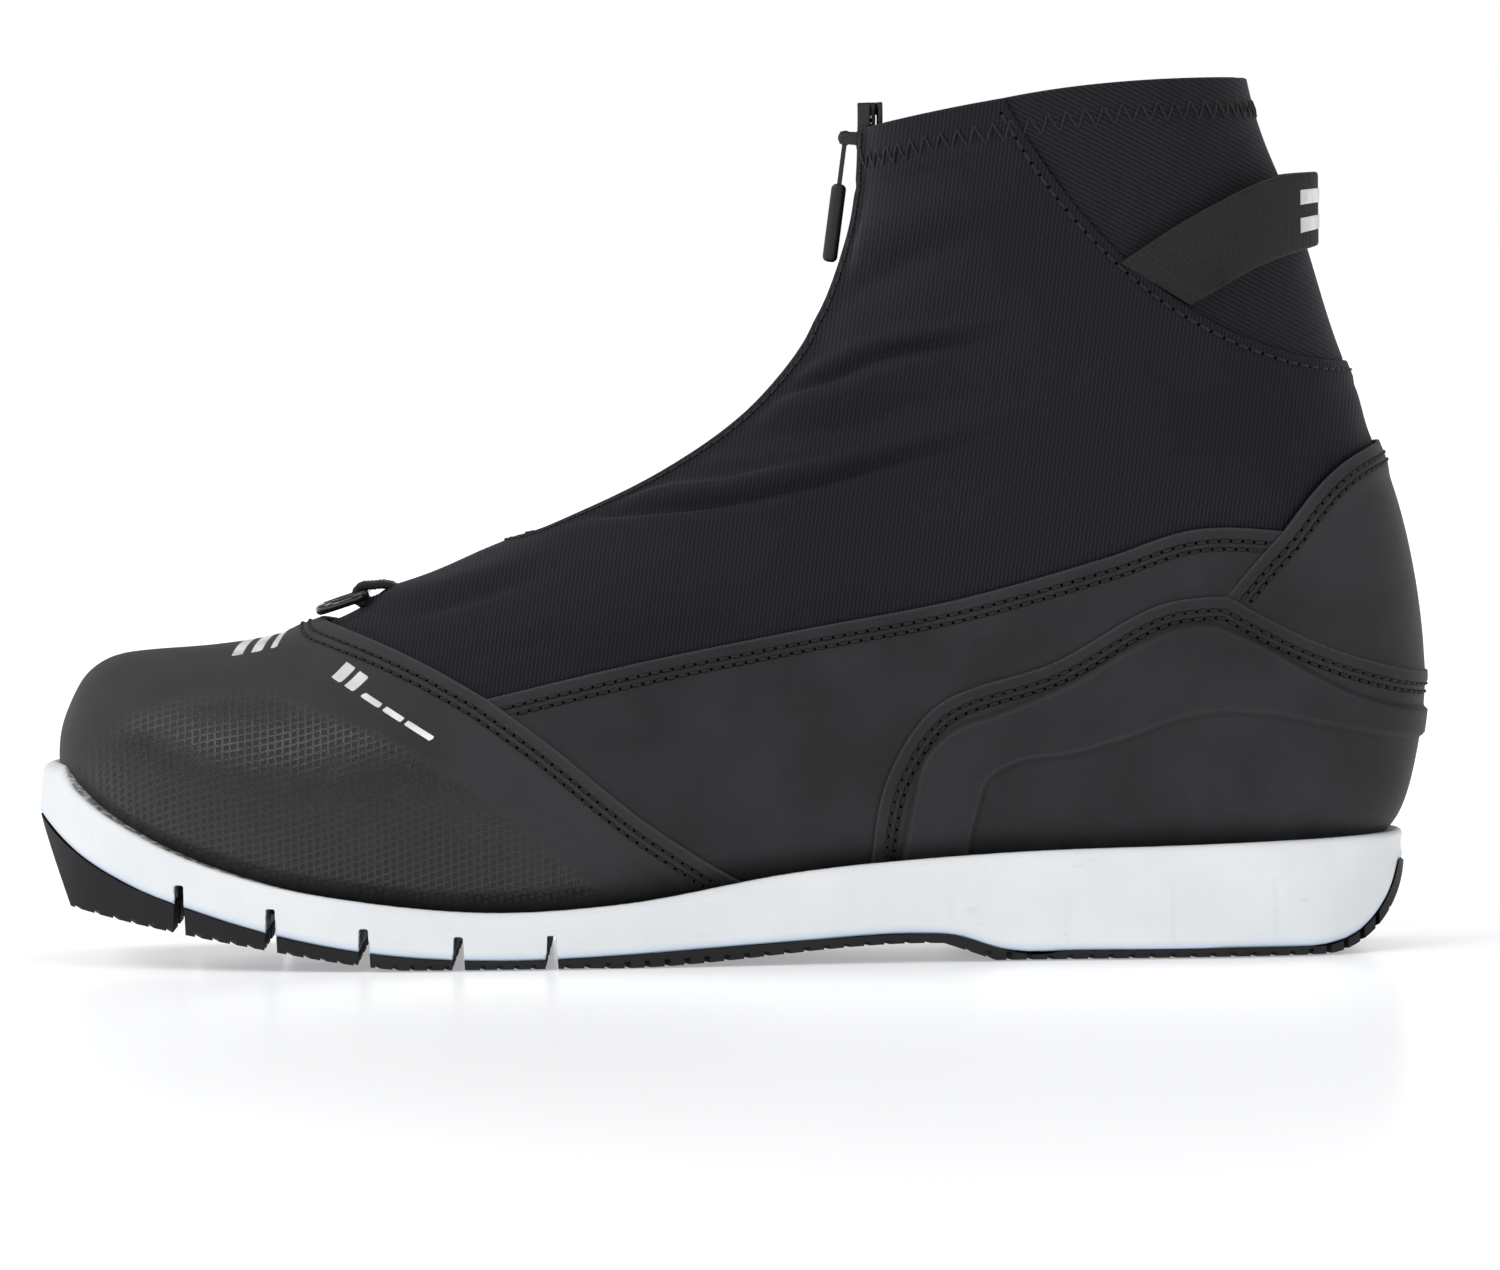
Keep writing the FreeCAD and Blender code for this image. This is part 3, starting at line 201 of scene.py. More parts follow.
def basis_along(u):
    span, values = clamped_basis(u, 3)
    _, lower = clamped_basis(u, 2)
    scaled = [3 * lower[j] / (U_KNOTS[span + 1 + j] - U_KNOTS[span - 2 + j]) for j in range(3)]
    slopes = [-scaled[0], scaled[0] - scaled[1], scaled[1] - scaled[2], scaled[2]]
    return span - 3, np.stack(values, axis=1), np.stack(slopes, axis=1)


def basis_around(v):
    first = np.floor(v).astype(int) - 1
    t = v - np.floor(v)
    values = [(1 - t)**3 / 6, (3*t**3 - 6*t**2 + 4) / 6, (-3*t**3 + 3*t**2 + 3*t + 1) / 6, t**3 / 6]
    slopes = [-(1 - t)**2 / 2, 1.5*t**2 - 2*t, -1.5*t**2 + t + 0.5, t**2 / 2]
    return first, np.stack(values, axis=1), np.stack(slopes, axis=1)


class Places:
    """Points of the last's surface, with their normals, at surface coordinates u and v."""

    def __init__(self, u, v):
        self.u = np.clip(np.asarray(u, float), 0.0, U_END)
        self.v = np.asarray(v, float)
        row, along, along_slope = basis_along(self.u)
        column, around, around_slope = basis_around(self.v)
        steps = np.arange(4)
        poles = POLES[(row[:, None] + steps)[:, :, None], ((column[:, None] + steps) % AROUND)[:, None, :]]
        self.point = np.einsum("na,nb,nabk->nk", along, around, poles)
        across = np.cross(np.einsum("na,nb,nabk->nk", along_slope, around, poles),
                          np.einsum("na,nb,nabk->nk", along, around_slope, poles))
        self.normal = unit(across) * TURNED
        self.x, self.y, self.z = self.point.T


# The normals are turned over if they come out pointing inward at a place on the top centre line.
TURNED = 1.0
if Places(np.array([20.0]), np.array([AROUND / 4])).normal[0, 2] < 0:
    TURNED = -1.0


NET_ALONG, NET_AROUND = 640, 360      # steps of the net that a grid's cells are measured on


class Grid:
    """A net of places over the whole last, with cells of about one size."""

    def __init__(self, cell):
        fine_u = np.linspace(0, U_END, NET_ALONG + 1)
        fine_v = np.linspace(0, AROUND, NET_AROUND + 1)[:-1]
        net = Places(np.repeat(fine_u, len(fine_v)), np.tile(fine_v, len(fine_u))).point
        net = net.reshape(len(fine_u), len(fine_v), 3)
        step_u = np.linalg.norm(np.diff(net, axis=0), axis=2).max(axis=1)
        step_v = np.linalg.norm(net - np.roll(net, -1, axis=1), axis=2).max(axis=0)
        run_u = np.concatenate([[0], np.cumsum(step_u)])
        run_v = np.concatenate([[0], np.cumsum(step_v)])
        u = np.interp(np.linspace(0, run_u[-1], int(run_u[-1] / cell) + 1), run_u, fine_u)
        even_v = np.linspace(0, run_v[-1], int(run_v[-1] / cell) + 1)
        v = np.interp(even_v, run_v, np.append(fine_v, AROUND))[:-1]
        self.shape = (len(u), len(v))
        self.places = Places(np.repeat(u, len(v)), np.tile(v, len(u)))
        index = np.arange(len(u) * len(v)).reshape(self.shape)
        near, far = index[:-1], index[1:]
        quads = [near, far, np.roll(far, -1, axis=1), np.roll(near, -1, axis=1)]
        if TURNED < 0:
            quads.reverse()
        self.quads = np.stack(quads, axis=-1).reshape(-1, 4)


# ---------------------------------------------------------------- seams
REACH = 45.0                         # how far a seam's ends are carried on straight
RASTER = 1.0                         # cell of the table that holds a seam's distances
RASTER_X = np.arange(-165.0, 170.0, RASTER)
RASTER_Z = np.arange(-8.0, 216.0, RASTER)


def smooth_line(points, step=2.0):
    """A smooth curve through the points: chord-length cubic Hermite."""
    rows = np.array(points, float)
    if len(rows) == 2:
        count = max(int(math.dist(*points) / step), 1)
        return rows[0] + (rows[1] - rows[0]) * np.linspace(0, 1, count + 1)[:, None]
    weight = np.diff(run_of(rows))
    chords = np.diff(rows, axis=0) / weight[:, None]
    slopes = np.empty_like(rows)
    slopes[1:-1] = ((chords[:-1] * weight[1:, None] + chords[1:] * weight[:-1, None])
                    / (weight[:-1] + weight[1:])[:, None])
    slopes[0] = 1.5 * chords[0] - 0.5 * slopes[1]
    slopes[-1] = 1.5 * chords[-1] - 0.5 * slopes[-2]
    line = [rows[0]]
    for k, gap in enumerate(weight):
        for t in np.linspace(0, 1, max(int(gap / step), 2) + 1)[1:]:
            line.append(hermite(t, gap, rows[k], rows[k + 1], slopes[k], slopes[k + 1]))
    return np.array(line)


class Seam:
    """Distance from a line in side view, in mm: above zero on the side where the point `inside` lies."""

    def __init__(self, stretches, inside):
        line = np.concatenate([smooth_line(stretch) for stretch in stretches])
        line = line[np.concatenate([[True], np.linalg.norm(np.diff(line, axis=0), axis=1) > 1e-6])]
        first = line[0] - line[1]
        last = line[-1] - line[-2]
        line = np.concatenate([[line[0] + first / np.linalg.norm(first) * REACH], line,
                               [line[-1] + last / np.linalg.norm(last) * REACH]])
        self.line = line
        x, z = np.meshgrid(RASTER_X, RASTER_Z, indexing="ij")
        self.raster = self.distance(np.stack([x.ravel(), z.ravel()], axis=1)).reshape(x.shape)
        if self.at(np.array([inside[0]]), np.array([inside[1]]))[0] < 0:
            self.raster = -self.raster

    def distance(self, targets):
        start, run = self.line[:-1], np.diff(self.line, axis=0)
        length = (run**2).sum(axis=1)
        best = np.full(len(targets), 1e9)
        sign = np.ones(len(targets))
        for a, d, square in zip(start, run, length):
            away = targets - a
            t = np.clip((away @ d) / square, 0, 1)
            gap = ((away - t[:, None] * d) ** 2).sum(axis=1)
            nearer = gap < best - 1e-9
            best = np.where(nearer, gap, best)
            sign = np.where(nearer, np.sign(d[0] * away[:, 1] - d[1] * away[:, 0]), sign)
        return np.sqrt(best) * sign

    def at(self, x, z):
        return bilinear(self.raster, (x - RASTER_X[0]) / RASTER, (z - RASTER_Z[0]) / RASTER)

    def __call__(self, places):
        return self.at(places.x, places.z)


RIM_LINE = [(-146.2, 42.4), (-141.0, 36.9), (-128.0, 28.5), (-102.0, 18.8), (-76.0, 14.1), (-50.0, 12.0),
            (-24.0, 13.3), (15.0, 19.5), (54.0, 22.6), (106.0, 24.1), (144.6, 25.2)]
TREAD_LINE = [(-149.4, 31.6), (-141.1, 24.2), (-128.2, 17.0), (-115.3, 12.4), (-102.3, 8.5), (-76.4, 3.4),
              (-50.5, 1.7), (-24.5, 2.4), (14.4, 4.7), (40.4, 5.8), (47.0, 5.4), (57.0, 2.4), (70.0, 1.7)]
TREAD_END = [(124.0, 1.7), (134.0, 4.2), (140.6, 11.0), (143.6, 18.6)]

toe_seam = Seam([[(-96.0, 104.0), (-88.0, 72.9)],
                 [(-88.0, 72.9), (-76.5, 69.1), (-65.0, 64.2), (-52.0, 57.1)],
                 [(-52.0, 57.1), (-41.3, 49.4), (-15.6, 28.6), (2.7, 17.1), (20.0, 8.0)]], inside=(-120, 40))
quarter_top = Seam([[(-52.0, 57.1), (-19.5, 64.3), (15.2, 70.8), (49.9, 77.1), (80.3, 85.4), (99.8, 91.3),
                     (118.2, 90.6)]], inside=(20, 40))
panel_edge = Seam([[(106.1, 77.0), (112.0, 84.0), (118.2, 90.6)],
                   [(118.2, 90.6), (132.4, 105.4), (143.0, 110.0), (160.0, 113.0)]], inside=(135, 80))
counter_edge = Seam([[(29.0, 8.0), (29.6, 20.3), (33.2, 38.8), (42.0, 52.6), (69.2, 63.3), (95.3, 76.2),
                      (106.1, 77.0)],
                     [(106.1, 77.0), (127.6, 65.8), (142.0, 61.0), (160.0, 58.0)]], inside=(90, 40))
rear_seam = Seam([[(59.8, 183.5), (70.4, 166.0), (84.9, 149.2), (99.3, 137.6), (121.9, 127.6), (160.0, 128.5)]],
                 inside=(110, 160))
collar_line = Seam([[(20.0, 175.2), (34.0, 178.6), (59.8, 183.5)],
                    [(59.8, 183.5), (80.0, 186.3), (113.0, 187.6), (160.0, 188.0)]], inside=(70, 120))
rim_seam = Seam([RIM_LINE], inside=(0, 60))
band_top = Seam([[(36.3, 21.5), (39.0, 34.4), (41.3, 42.6), (46.3, 48.0), (58.3, 52.6), (73.5, 58.9),
                  (86.5, 66.3), (96.3, 70.3), (101.7, 70.9), (110.4, 67.8), (123.3, 60.5), (134.0, 55.0),
                  (144.8, 52.0), (150.2, 51.3)]], inside=(90, 40))
band_low = Seam([[(49.9, 21.3), (52.6, 32.1), (54.9, 38.6), (59.2, 41.3), (73.3, 43.8), (84.2, 46.9),
                  (95.0, 50.7), (103.7, 52.3), (114.5, 51.7), (127.4, 49.0), (140.4, 46.4), (149.0, 45.5)]],
                inside=(90, 30))
ZIP_AXIS = (-61.0, 181.2)            # (x, z) of the centre of the zip's arc
COIL_RADIUS = 91.9
TAPE_EDGE = 7.8                      # half the width of the slot in the fabric
SLOT_END_ANGLE = -80.6               # degrees below level, where the slot ends in front
BEHIND_ZIP = 60.0                    # x beyond which the zip plays no part


def zip_angle(places):
    return np.degrees(np.arctan2(places.z - ZIP_AXIS[1], places.x - ZIP_AXIS[0]))


def beside_zip(places):
    """Distance from the edge of the zip's slot, above zero on the fabric."""
    beyond = np.radians(SLOT_END_ANGLE - zip_angle(places)) * COIL_RADIUS + TAPE_EDGE
    reach = np.hypot(np.maximum(beyond, 0), places.y) - TAPE_EDGE
    return np.where(places.x > BEHIND_ZIP, np.abs(places.y) + 20, reach)


# ---------------------------------------------------------------- making meshes
def placed(name, data):
    """A new object in the scene."""
    piece = bpy.data.objects.new(name, data)
    bpy.context.scene.collection.objects.link(piece)
    return piece


def make_object(name, points, face_sets, material, body="boot", slot=None, replaces=(), values=None,
                smooth=True):
    """A mesh from points in millimetres, with its body, replaced nodes and named values; `slot` is not used."""
    mesh = bpy.data.meshes.new(name)
    face_sets = [np.asarray(faces, dtype=np.int64) for faces in face_sets if len(faces)]
    corners = np.concatenate([faces.ravel() for faces in face_sets])
    sizes = np.concatenate([np.full(len(faces), faces.shape[1]) for faces in face_sets])
    mesh.vertices.add(len(points))
    mesh.vertices.foreach_set("co", (np.asarray(points) * MM).astype(np.float32).ravel())
    mesh.loops.add(len(corners))
    mesh.loops.foreach_set("vertex_index", corners.astype(np.int32))
    mesh.polygons.add(len(sizes))
    mesh.polygons.foreach_set("loop_start", np.concatenate([[0], np.cumsum(sizes)[:-1]]).astype(np.int32))
    mesh.update(calc_edges=True)
    mesh.polygons.foreach_set("use_smooth", np.full(len(sizes), smooth))
    for key, numbers in (values or {}).items():
        layer = mesh.attributes.new(key, "FLOAT", "POINT")
        layer.data.foreach_set("value", np.asarray(numbers, np.float32))
    mesh.materials.append(material)
    piece = placed(name, mesh)
    if body:
        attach(piece, body)
    if replaces:
        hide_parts(*replaces)
    return piece


def outward_facing(piece):
    mesh = bmesh.new()
    mesh.from_mesh(piece.data)
    bmesh.ops.recalc_face_normals(mesh, faces=mesh.faces)
    mesh.to_mesh(piece.data)
    mesh.free()
    return piece


SNAP = 0.3                           # share of a cell within which a corner moves onto the cut


def clip(grid, inside):
    """The part of the grid where `inside` is above zero, cut along its zero line.

    Each new corner lies between two grid corners: returns those, the share, and the faces.
    """
    value = inside.copy()
    quads = grid.quads[(value[grid.quads] > 0).any(axis=1)]
    pairs = np.concatenate([quads[:, ends] for ends in ([0, 1], [1, 2], [2, 3], [3, 0], [0, 2])])
    pairs = np.unique(np.sort(pairs, axis=1), axis=0)
    pairs = pairs[(value[pairs[:, 0]] > 0) != (value[pairs[:, 1]] > 0)]
    share = value[pairs[:, 0]] / (value[pairs[:, 0]] - value[pairs[:, 1]])
    corner = np.concatenate([pairs[:, 0], pairs[:, 1]])
    other = np.concatenate([pairs[:, 1], pairs[:, 0]])
    share = np.concatenate([share, 1 - share])
    near = np.flatnonzero(share < SNAP)
    near = near[np.argsort(-share[near], kind="stable")]
    partner = np.arange(len(value))
    moved = np.zeros(len(value))
    partner[corner[near]] = other[near]
    moved[corner[near]] = share[near]
    value[corner[near]] = 0.0
    sign = np.sign(value)
    whole = (sign[quads] >= 0).all(axis=1) & ((sign[quads] > 0).sum(axis=1) > 1)
    broken = quads[~whole]
    triangles = np.concatenate([broken[:, [0, 1, 2]], broken[:, [0, 2, 3]]])
    kept = [triangles[(sign[triangles] >= 0).all(axis=1) & (sign[triangles] > 0).any(axis=1)]]
    cut_pairs, cut_faces = [], []

    def crossing(a, b):
        cut_pairs.append(np.sort(np.stack([a, b], axis=1), axis=1))
        return -len(cut_pairs)

    mixed = triangles[(sign[triangles] > 0).any(axis=1) & (sign[triangles] < 0).any(axis=1)]
    for turn in range(3):
        a, b, c = np.roll(mixed, -turn, axis=1).T
        sa, sb, sc = sign[a], sign[b], sign[c]
        for choose, corners_of in (
                ((sa > 0) & (sb < 0) & (sc < 0), lambda a, b, c: [(a, crossing(a, b), crossing(a, c))]),
                ((sa > 0) & (sb > 0) & (sc < 0), lambda a, b, c: (lambda bc, ac: [(a, b, bc), (a, bc, ac)])(
                    crossing(b, c), crossing(a, c))),
                ((sa > 0) & (sb == 0) & (sc < 0), lambda a, b, c: [(a, b, crossing(a, c))]),
                ((sa > 0) & (sb < 0) & (sc == 0), lambda a, b, c: [(a, crossing(a, b), c)])):
            if choose.any():
                cut_faces.extend(corners_of(a[choose], b[choose], c[choose]))
    if cut_pairs:
        sizes = [len(p) for p in cut_pairs]
        unique, back = np.unique(np.concatenate(cut_pairs), axis=0, return_inverse=True)
        back = back.ravel()
        starts = np.concatenate([[0], np.cumsum(sizes)])
        ids = [len(value) + back[starts[k]:starts[k + 1]] for k in range(len(sizes))]
        for face in cut_faces:
            kept.append(np.stack([ids[-c - 1] if isinstance(c, int) else c for c in face], axis=1))
    else:
        unique = np.zeros((0, 2), int)
    one, other = value[unique[:, 0]], value[unique[:, 1]]
    cut_share = one / (one - other) if len(unique) else np.zeros(0)
    first = np.concatenate([np.arange(len(value)), unique[:, 0]])
    second = np.concatenate([partner, unique[:, 1]])
    between = np.concatenate([moved, cut_share])
    faces = [quads[whole], np.concatenate(kept)]
    used = np.unique(np.concatenate([f.ravel() for f in faces]))
    renumber = np.zeros(len(first), int)
    renumber[used] = np.arange(len(used))
    return first[used], second[used], between[used], [renumber[f] for f in faces]


def blend_places(grid, first, second, share):
    at = grid.places
    turn = at.v[second] - at.v[first]
    turn = (turn + AROUND / 2) % AROUND - AROUND / 2
    return Places(at.u[first] + share * (at.u[second] - at.u[first]), at.v[first] + share * turn)


def open_edges(faces):
    """Directed edges that only one face uses."""
    edges = []
    for kind in faces:
        for k in range(kind.shape[1] if len(kind) else 0):
            edges.append(np.stack([kind[:, k], kind[:, (k + 1) % kind.shape[1]]], axis=1))
    edges = np.concatenate(edges)
    key = np.sort(edges, axis=1)
    _, back, count = np.unique(key, axis=0, return_inverse=True, return_counts=True)
    return edges[count[back.ravel()] == 1]


WALL_STEPS = 4                       # steps round a panel's cut edge


def panel(name, grid, inside, height, depth, edge, material, values=None, **facts):
    """A closed sheet that follows the last: its outer face `height` above the last's skin, its
    thickness `depth`, and its cut edges rounded and standing out by `edge`."""
    first, second, share, faces = clip(grid, inside(grid.places) - edge)
    at = blend_places(grid, first, second, share)
    count = len(at.x)
    top = height(at) * np.ones(count)
    thick = (depth(at) if callable(depth) else depth) * np.ones(count)
    outer = at.point + at.normal * top[:, None]
    inner = at.point + at.normal * (top - thick)[:, None]
    rim = open_edges(faces)
    along = outer[rim[:, 1]] - outer[rim[:, 0]]
    out = np.zeros((count, 3))
    for end in (0, 1):
        np.add.at(out, rim[:, end], np.cross(along, at.normal[rim[:, end]]))
    rim_points = np.unique(rim)
    out = unit(out[rim_points])
    row = np.zeros(count, int)
    row[rim_points] = np.arange(len(rim_points))
    layers = [rim_points]
    points = [outer, inner]
    copies = [np.arange(count), np.arange(count)]
    for k in range(1, WALL_STEPS):
        turn = math.pi * k / WALL_STEPS
        reach = edge * math.sin(turn) ** 0.6
        drop = thick[rim_points] * (1 - math.cos(turn)) / 2
        points.append(outer[rim_points] + out * reach - at.normal[rim_points] * drop[:, None])
        layers.append(2 * count + (k - 1) * len(rim_points) + np.arange(len(rim_points)))
        copies.append(rim_points)
    layers.append(rim_points + count)
    walls = []
    a, b = row[rim[:, 0]], row[rim[:, 1]]
    for upper, lower in zip(layers, layers[1:]):
        walls.append(np.stack([upper[b], upper[a], lower[a], lower[b]], axis=1))
    copies = np.concatenate(copies)
    numbers = {key: np.asarray(layer(at) * np.ones(count))[copies] for key, layer in (values or {}).items()}
    face_sets = [*faces, *[f[:, ::-1] + count for f in faces if len(f)], *walls]
    return make_object(name, np.concatenate(points), face_sets, material, values=numbers, **facts)


# ---------------------------------------------------------------- lines on the surface
def contours(grid, value, level, mask):
    """Chains of places along which `value` equals `level`, where `mask` is above zero."""
    gap = value - level
    triangles = np.concatenate([grid.quads[:, [0, 1, 2]], grid.quads[:, [0, 2, 3]]])
    above = gap[triangles] > 0
    crossed = (above.sum(axis=1) % 3 > 0) & (mask[triangles] > 0).all(axis=1)
    links = {}
    for triangle, side in zip(triangles[crossed].tolist(), above[crossed].tolist()):
        ends = []
        for k in range(3):
            if side[k] != side[(k + 1) % 3]:
                a, b = triangle[k], triangle[(k + 1) % 3]
                ends.append((min(a, b), max(a, b)))
        links.setdefault(ends[0], []).append(ends[1])
        links.setdefault(ends[1], []).append(ends[0])
    chains, seen = [], set()
    for start in sorted(links, key=lambda key: (len(links[key]) > 1, key)):
        if start in seen:
            continue
        chain, here = [start], start
        seen.add(start)
        while True:
            ahead = [key for key in links[here] if key not in seen]
            if not ahead:
                break
            here = ahead[0]
            seen.add(here)
            chain.append(here)
        if len(chain) > 4:
            chains.append(chain)
    tracks = []
    for chain in chains:
        a, b = np.array(chain).T
        tracks.append(Track(blend_places(grid, a, b, gap[a] / (gap[a] - gap[b]))))
    return tracks


class Track:
    """A path on the surface that can be read at any distance along it."""

    def __init__(self, at):
        self.u = at.u
        self.v = np.unwrap(at.v, period=AROUND)
        self.run = run_of(at.point)
        self.length = self.run[-1]

    def places(self, distance):
        return Places(np.interp(distance, self.run, self.u), np.interp(distance, self.run, self.v))


def tubes(paths, normals, radius, sides=6):
    """Rings of corners round many short paths at once: (path, step, 3) arrays in, points and faces out."""
    count, steps, _ = paths.shape
    ahead = unit(np.gradient(paths, axis=1))
    across = unit(np.cross(ahead, normals))
    up = np.cross(across, ahead)
    turn = 2 * np.pi * np.arange(sides) / sides
    size = (radius * np.ones(steps))[None, :, None, None]
    points = (paths[:, :, None] + size * (across[:, :, None] * np.cos(turn)[None, None, :, None]
                                          + up[:, :, None] * np.sin(turn)[None, None, :, None]))
    index = np.arange(count * steps * sides).reshape(count, steps, sides)
    ring = np.roll(index, -1, axis=2)
    quads = np.stack([index[:, :-1], ring[:, :-1], ring[:, 1:], index[:, 1:]], axis=-1).reshape(-1, 4)
    caps = np.concatenate([index[:, 0, ::-1], index[:, -1]])
    return points.reshape(-1, 3), [quads, caps]


def join(parts):
    """Points and face sets of several meshes put together."""
    points, face_sets, start = [], [], 0
    for some, sets in parts:
        points.append(some)
        face_sets += [np.asarray(faces) + start for faces in sets if len(faces)]
        start += len(some)
    return np.concatenate(points), face_sets


THREAD = 0.26                        # thread radius
# One stitch, as (share of the pitch along, height over the leather) and as its thickness at each.
STITCH_SHAPE = [(-0.40, -0.30), (-0.31, 0.02), (-0.13, 0.15), (0.13, 0.15), (0.31, 0.02), (0.40, -0.30)]
STITCH_FULLNESS = [0.7, 1.0, 1.08, 1.08, 1.0, 0.7]


def stitch_row(track, height, pitch, start=1.5):
    """Raised thread between the needle holes of one row."""
    middle = np.arange(start, track.length - 1.0, pitch)
    if not len(middle):
        return np.zeros((0, 3)), []
    paths, normals = [], []
    for along, lift in STITCH_SHAPE:
        at = track.places(middle + along * pitch)
        paths.append(at.point + at.normal * (height(at) + lift)[:, None])
        normals.append(at.normal)
    return tubes(np.stack(paths, axis=1), np.stack(normals, axis=1), THREAD * np.array(STITCH_FULLNESS))


HOLE = 0.36                          # needle hole radius
HOLE_CORNERS = 6


def hole_shade_discs(track, height, pitch, start=1.5):
    """Shallow near-black discs where the needle went in: painted shade for the dark of the holes."""
    along = np.arange(start - pitch / 2, track.length - 0.6, pitch)
    along = along[along > 0.4]
    if not len(along):
        return np.zeros((0, 3)), []
    at = track.places(along)
    # Any direction that is never square to the surface along a seam.
    across = unit(np.cross(at.normal, [0.12, 0.2, 0.97]))
    upward = np.cross(at.normal, across)
    centre = at.point + at.normal * height(at)[:, None]
    turn = (2 * np.pi * np.arange(HOLE_CORNERS) / HOLE_CORNERS)[None, :, None]
    ring = (centre[:, None] + HOLE * (across[:, None] * np.cos(turn) + upward[:, None] * np.sin(turn))
            + at.normal[:, None] * 0.03)
    tip = centre + at.normal * 0.07
    root = centre - at.normal * 0.25
    points = np.concatenate([ring, tip[:, None], root[:, None]], axis=1)
    base = np.arange(len(along))[:, None] * (HOLE_CORNERS + 2)
    corner = np.arange(HOLE_CORNERS)
    ahead = (corner + 1) % HOLE_CORNERS
    top, bottom = (base + HOLE_CORNERS + k + 0 * corner for k in (0, 1))
    upper = np.stack([base + corner, base + ahead, top], axis=-1)
    lower = np.stack([base + ahead, base + corner, bottom], axis=-1)
    return points.reshape(-1, 3), [np.concatenate([upper, lower]).reshape(-1, 3)]


# ---------------------------------------------------------------- materials
class Look:
    """A procedural material and short names for the nodes it is made of."""

    def __init__(self, name, colour, roughness, **inputs):
        self.material = bpy.data.materials.new(name)
        self.material.use_nodes = True
        self.nodes = self.material.node_tree.nodes
        self.links = self.material.node_tree.links
        self.shader = self.nodes["Principled BSDF"]
        self.set(self.shader, "Base Color", (*colour, 1.0))
        self.set(self.shader, "Roughness", roughness)
        for key, value in inputs.items():
            self.set(self.shader, key.replace("_", " ").title().replace("Ior", "IOR"), value)
        self.space = self.nodes.new("ShaderNodeTexCoord").outputs["Object"]
        self.normal = None

    def set(self, node, socket, value):
        if isinstance(value, bpy.types.NodeSocket):
            self.links.new(value, node.inputs[socket])
        else:
            node.inputs[socket].default_value = value

    def add(self, kind, output, sockets, **facts):
        """A new node with its facts and sockets set; gives back one of its outputs."""
        node = self.nodes.new(kind)
        for key, value in facts.items():
            setattr(node, key, value)
        for socket, value in sockets.items():
            self.set(node, socket, value)
        return node.outputs[output]

    def stretched(self, size, angle=0.0):
        """Object coordinates in units of `size` millimetres along each axis, turned about Y."""
        sizes = size if isinstance(size, tuple) else (size,) * 3
        return self.add("ShaderNodeMapping", "Vector", {
            "Vector": self.space, "Rotation": (0.0, math.radians(angle), 0.0),
            "Scale": tuple(1.0 / (s * MM) for s in sizes)})

    def noise(self, size, detail=3.0, roughness=0.55):
        return self.add("ShaderNodeTexNoise", "Fac", {
            "Vector": self.stretched(size), "Scale": 1.0, "Detail": detail, "Roughness": roughness})

    def cells(self, size):
        return self.add("ShaderNodeTexVoronoi", "Distance", {"Vector": self.stretched(size), "Scale": 1.0},
                        feature="F1")

    def ribs(self, pitch, angle, wobble=0.0):
        """Even bands, `pitch` millimetres apart, across X turned by `angle` in side view."""
        # One period of the wave is 2 pi / 20 of its coordinate.
        return self.add("ShaderNodeTexWave", "Fac", {
            "Vector": self.stretched(pitch * 20 / (2 * math.pi), angle), "Scale": 1.0,
            "Distortion": wobble, "Detail": 2.0, "Detail Scale": 1.5},
            wave_type="BANDS", bands_direction="X", wave_profile="SIN")

    def value(self, name):
        return self.add("ShaderNodeAttribute", "Fac", {}, attribute_name=name)

    def ribs_of(self, name, pitch):
        """Even bands of a named value that holds millimetres."""
        wave = self.maths("SINE", self.maths("MULTIPLY", self.value(name), 2 * math.pi / pitch))
        return self.maths("MULTIPLY_ADD", wave, 0.5, 0.5)

    def maths(self, operation, first, second=0.0, third=0.0):
        return self.add("ShaderNodeMath", "Value", {0: first, 1: second, 2: third}, operation=operation)

    def span(self, value, low, high, to_low=0.0, to_high=1.0):
        """The value carried from one range to another, eased and clamped."""
        return self.add("ShaderNodeMapRange", "Result", {
            "Value": value, "From Min": low, "From Max": high, "To Min": to_low, "To Max": to_high},
            interpolation_type="SMOOTHSTEP")

    def mix(self, share, first, second):
        colours = [c if isinstance(c, bpy.types.NodeSocket) else (*c, 1.0) for c in (first, second)]
        # Sockets 6, 7 and output 2 are the mix node's colours.
        return self.add("ShaderNodeMix", 2, {"Factor": share, 6: colours[0], 7: colours[1]}, data_type="RGBA")

    def bump(self, height, distance, strength=1.0):
        """Adds a height pattern, `distance` millimetres from its lowest to its highest."""
        below = {} if self.normal is None else {"Normal": self.normal}
        self.normal = self.add("ShaderNodeBump", "Normal", {
            "Height": height, "Distance": distance * MM, "Strength": strength, **below})
        self.set(self.shader, "Normal", self.normal)

    def colour(self, value):
        self.set(self.shader, "Base Color", value)

    def roughness(self, value):
        self.set(self.shader, "Roughness", value)


def shade(colour, share):
    return tuple(min(share * c, 1.0) for c in colour)


def dot_row(look, distance, wide):
    """A narrow band about one distance from a panel's edge."""
    away = look.maths("ABSOLUTE", look.maths("SUBTRACT", look.value("edge"), distance))
    return look.span(away, 0.0, wide, 1.0, 0.0)


ROWS = (2.9, 4.6)                    # stitch rows, from a panel's edge
PITCH = 2.5                          # from one stitch to the next
GRID_PITCH = 1.62                    # of the grid moulded into the toe


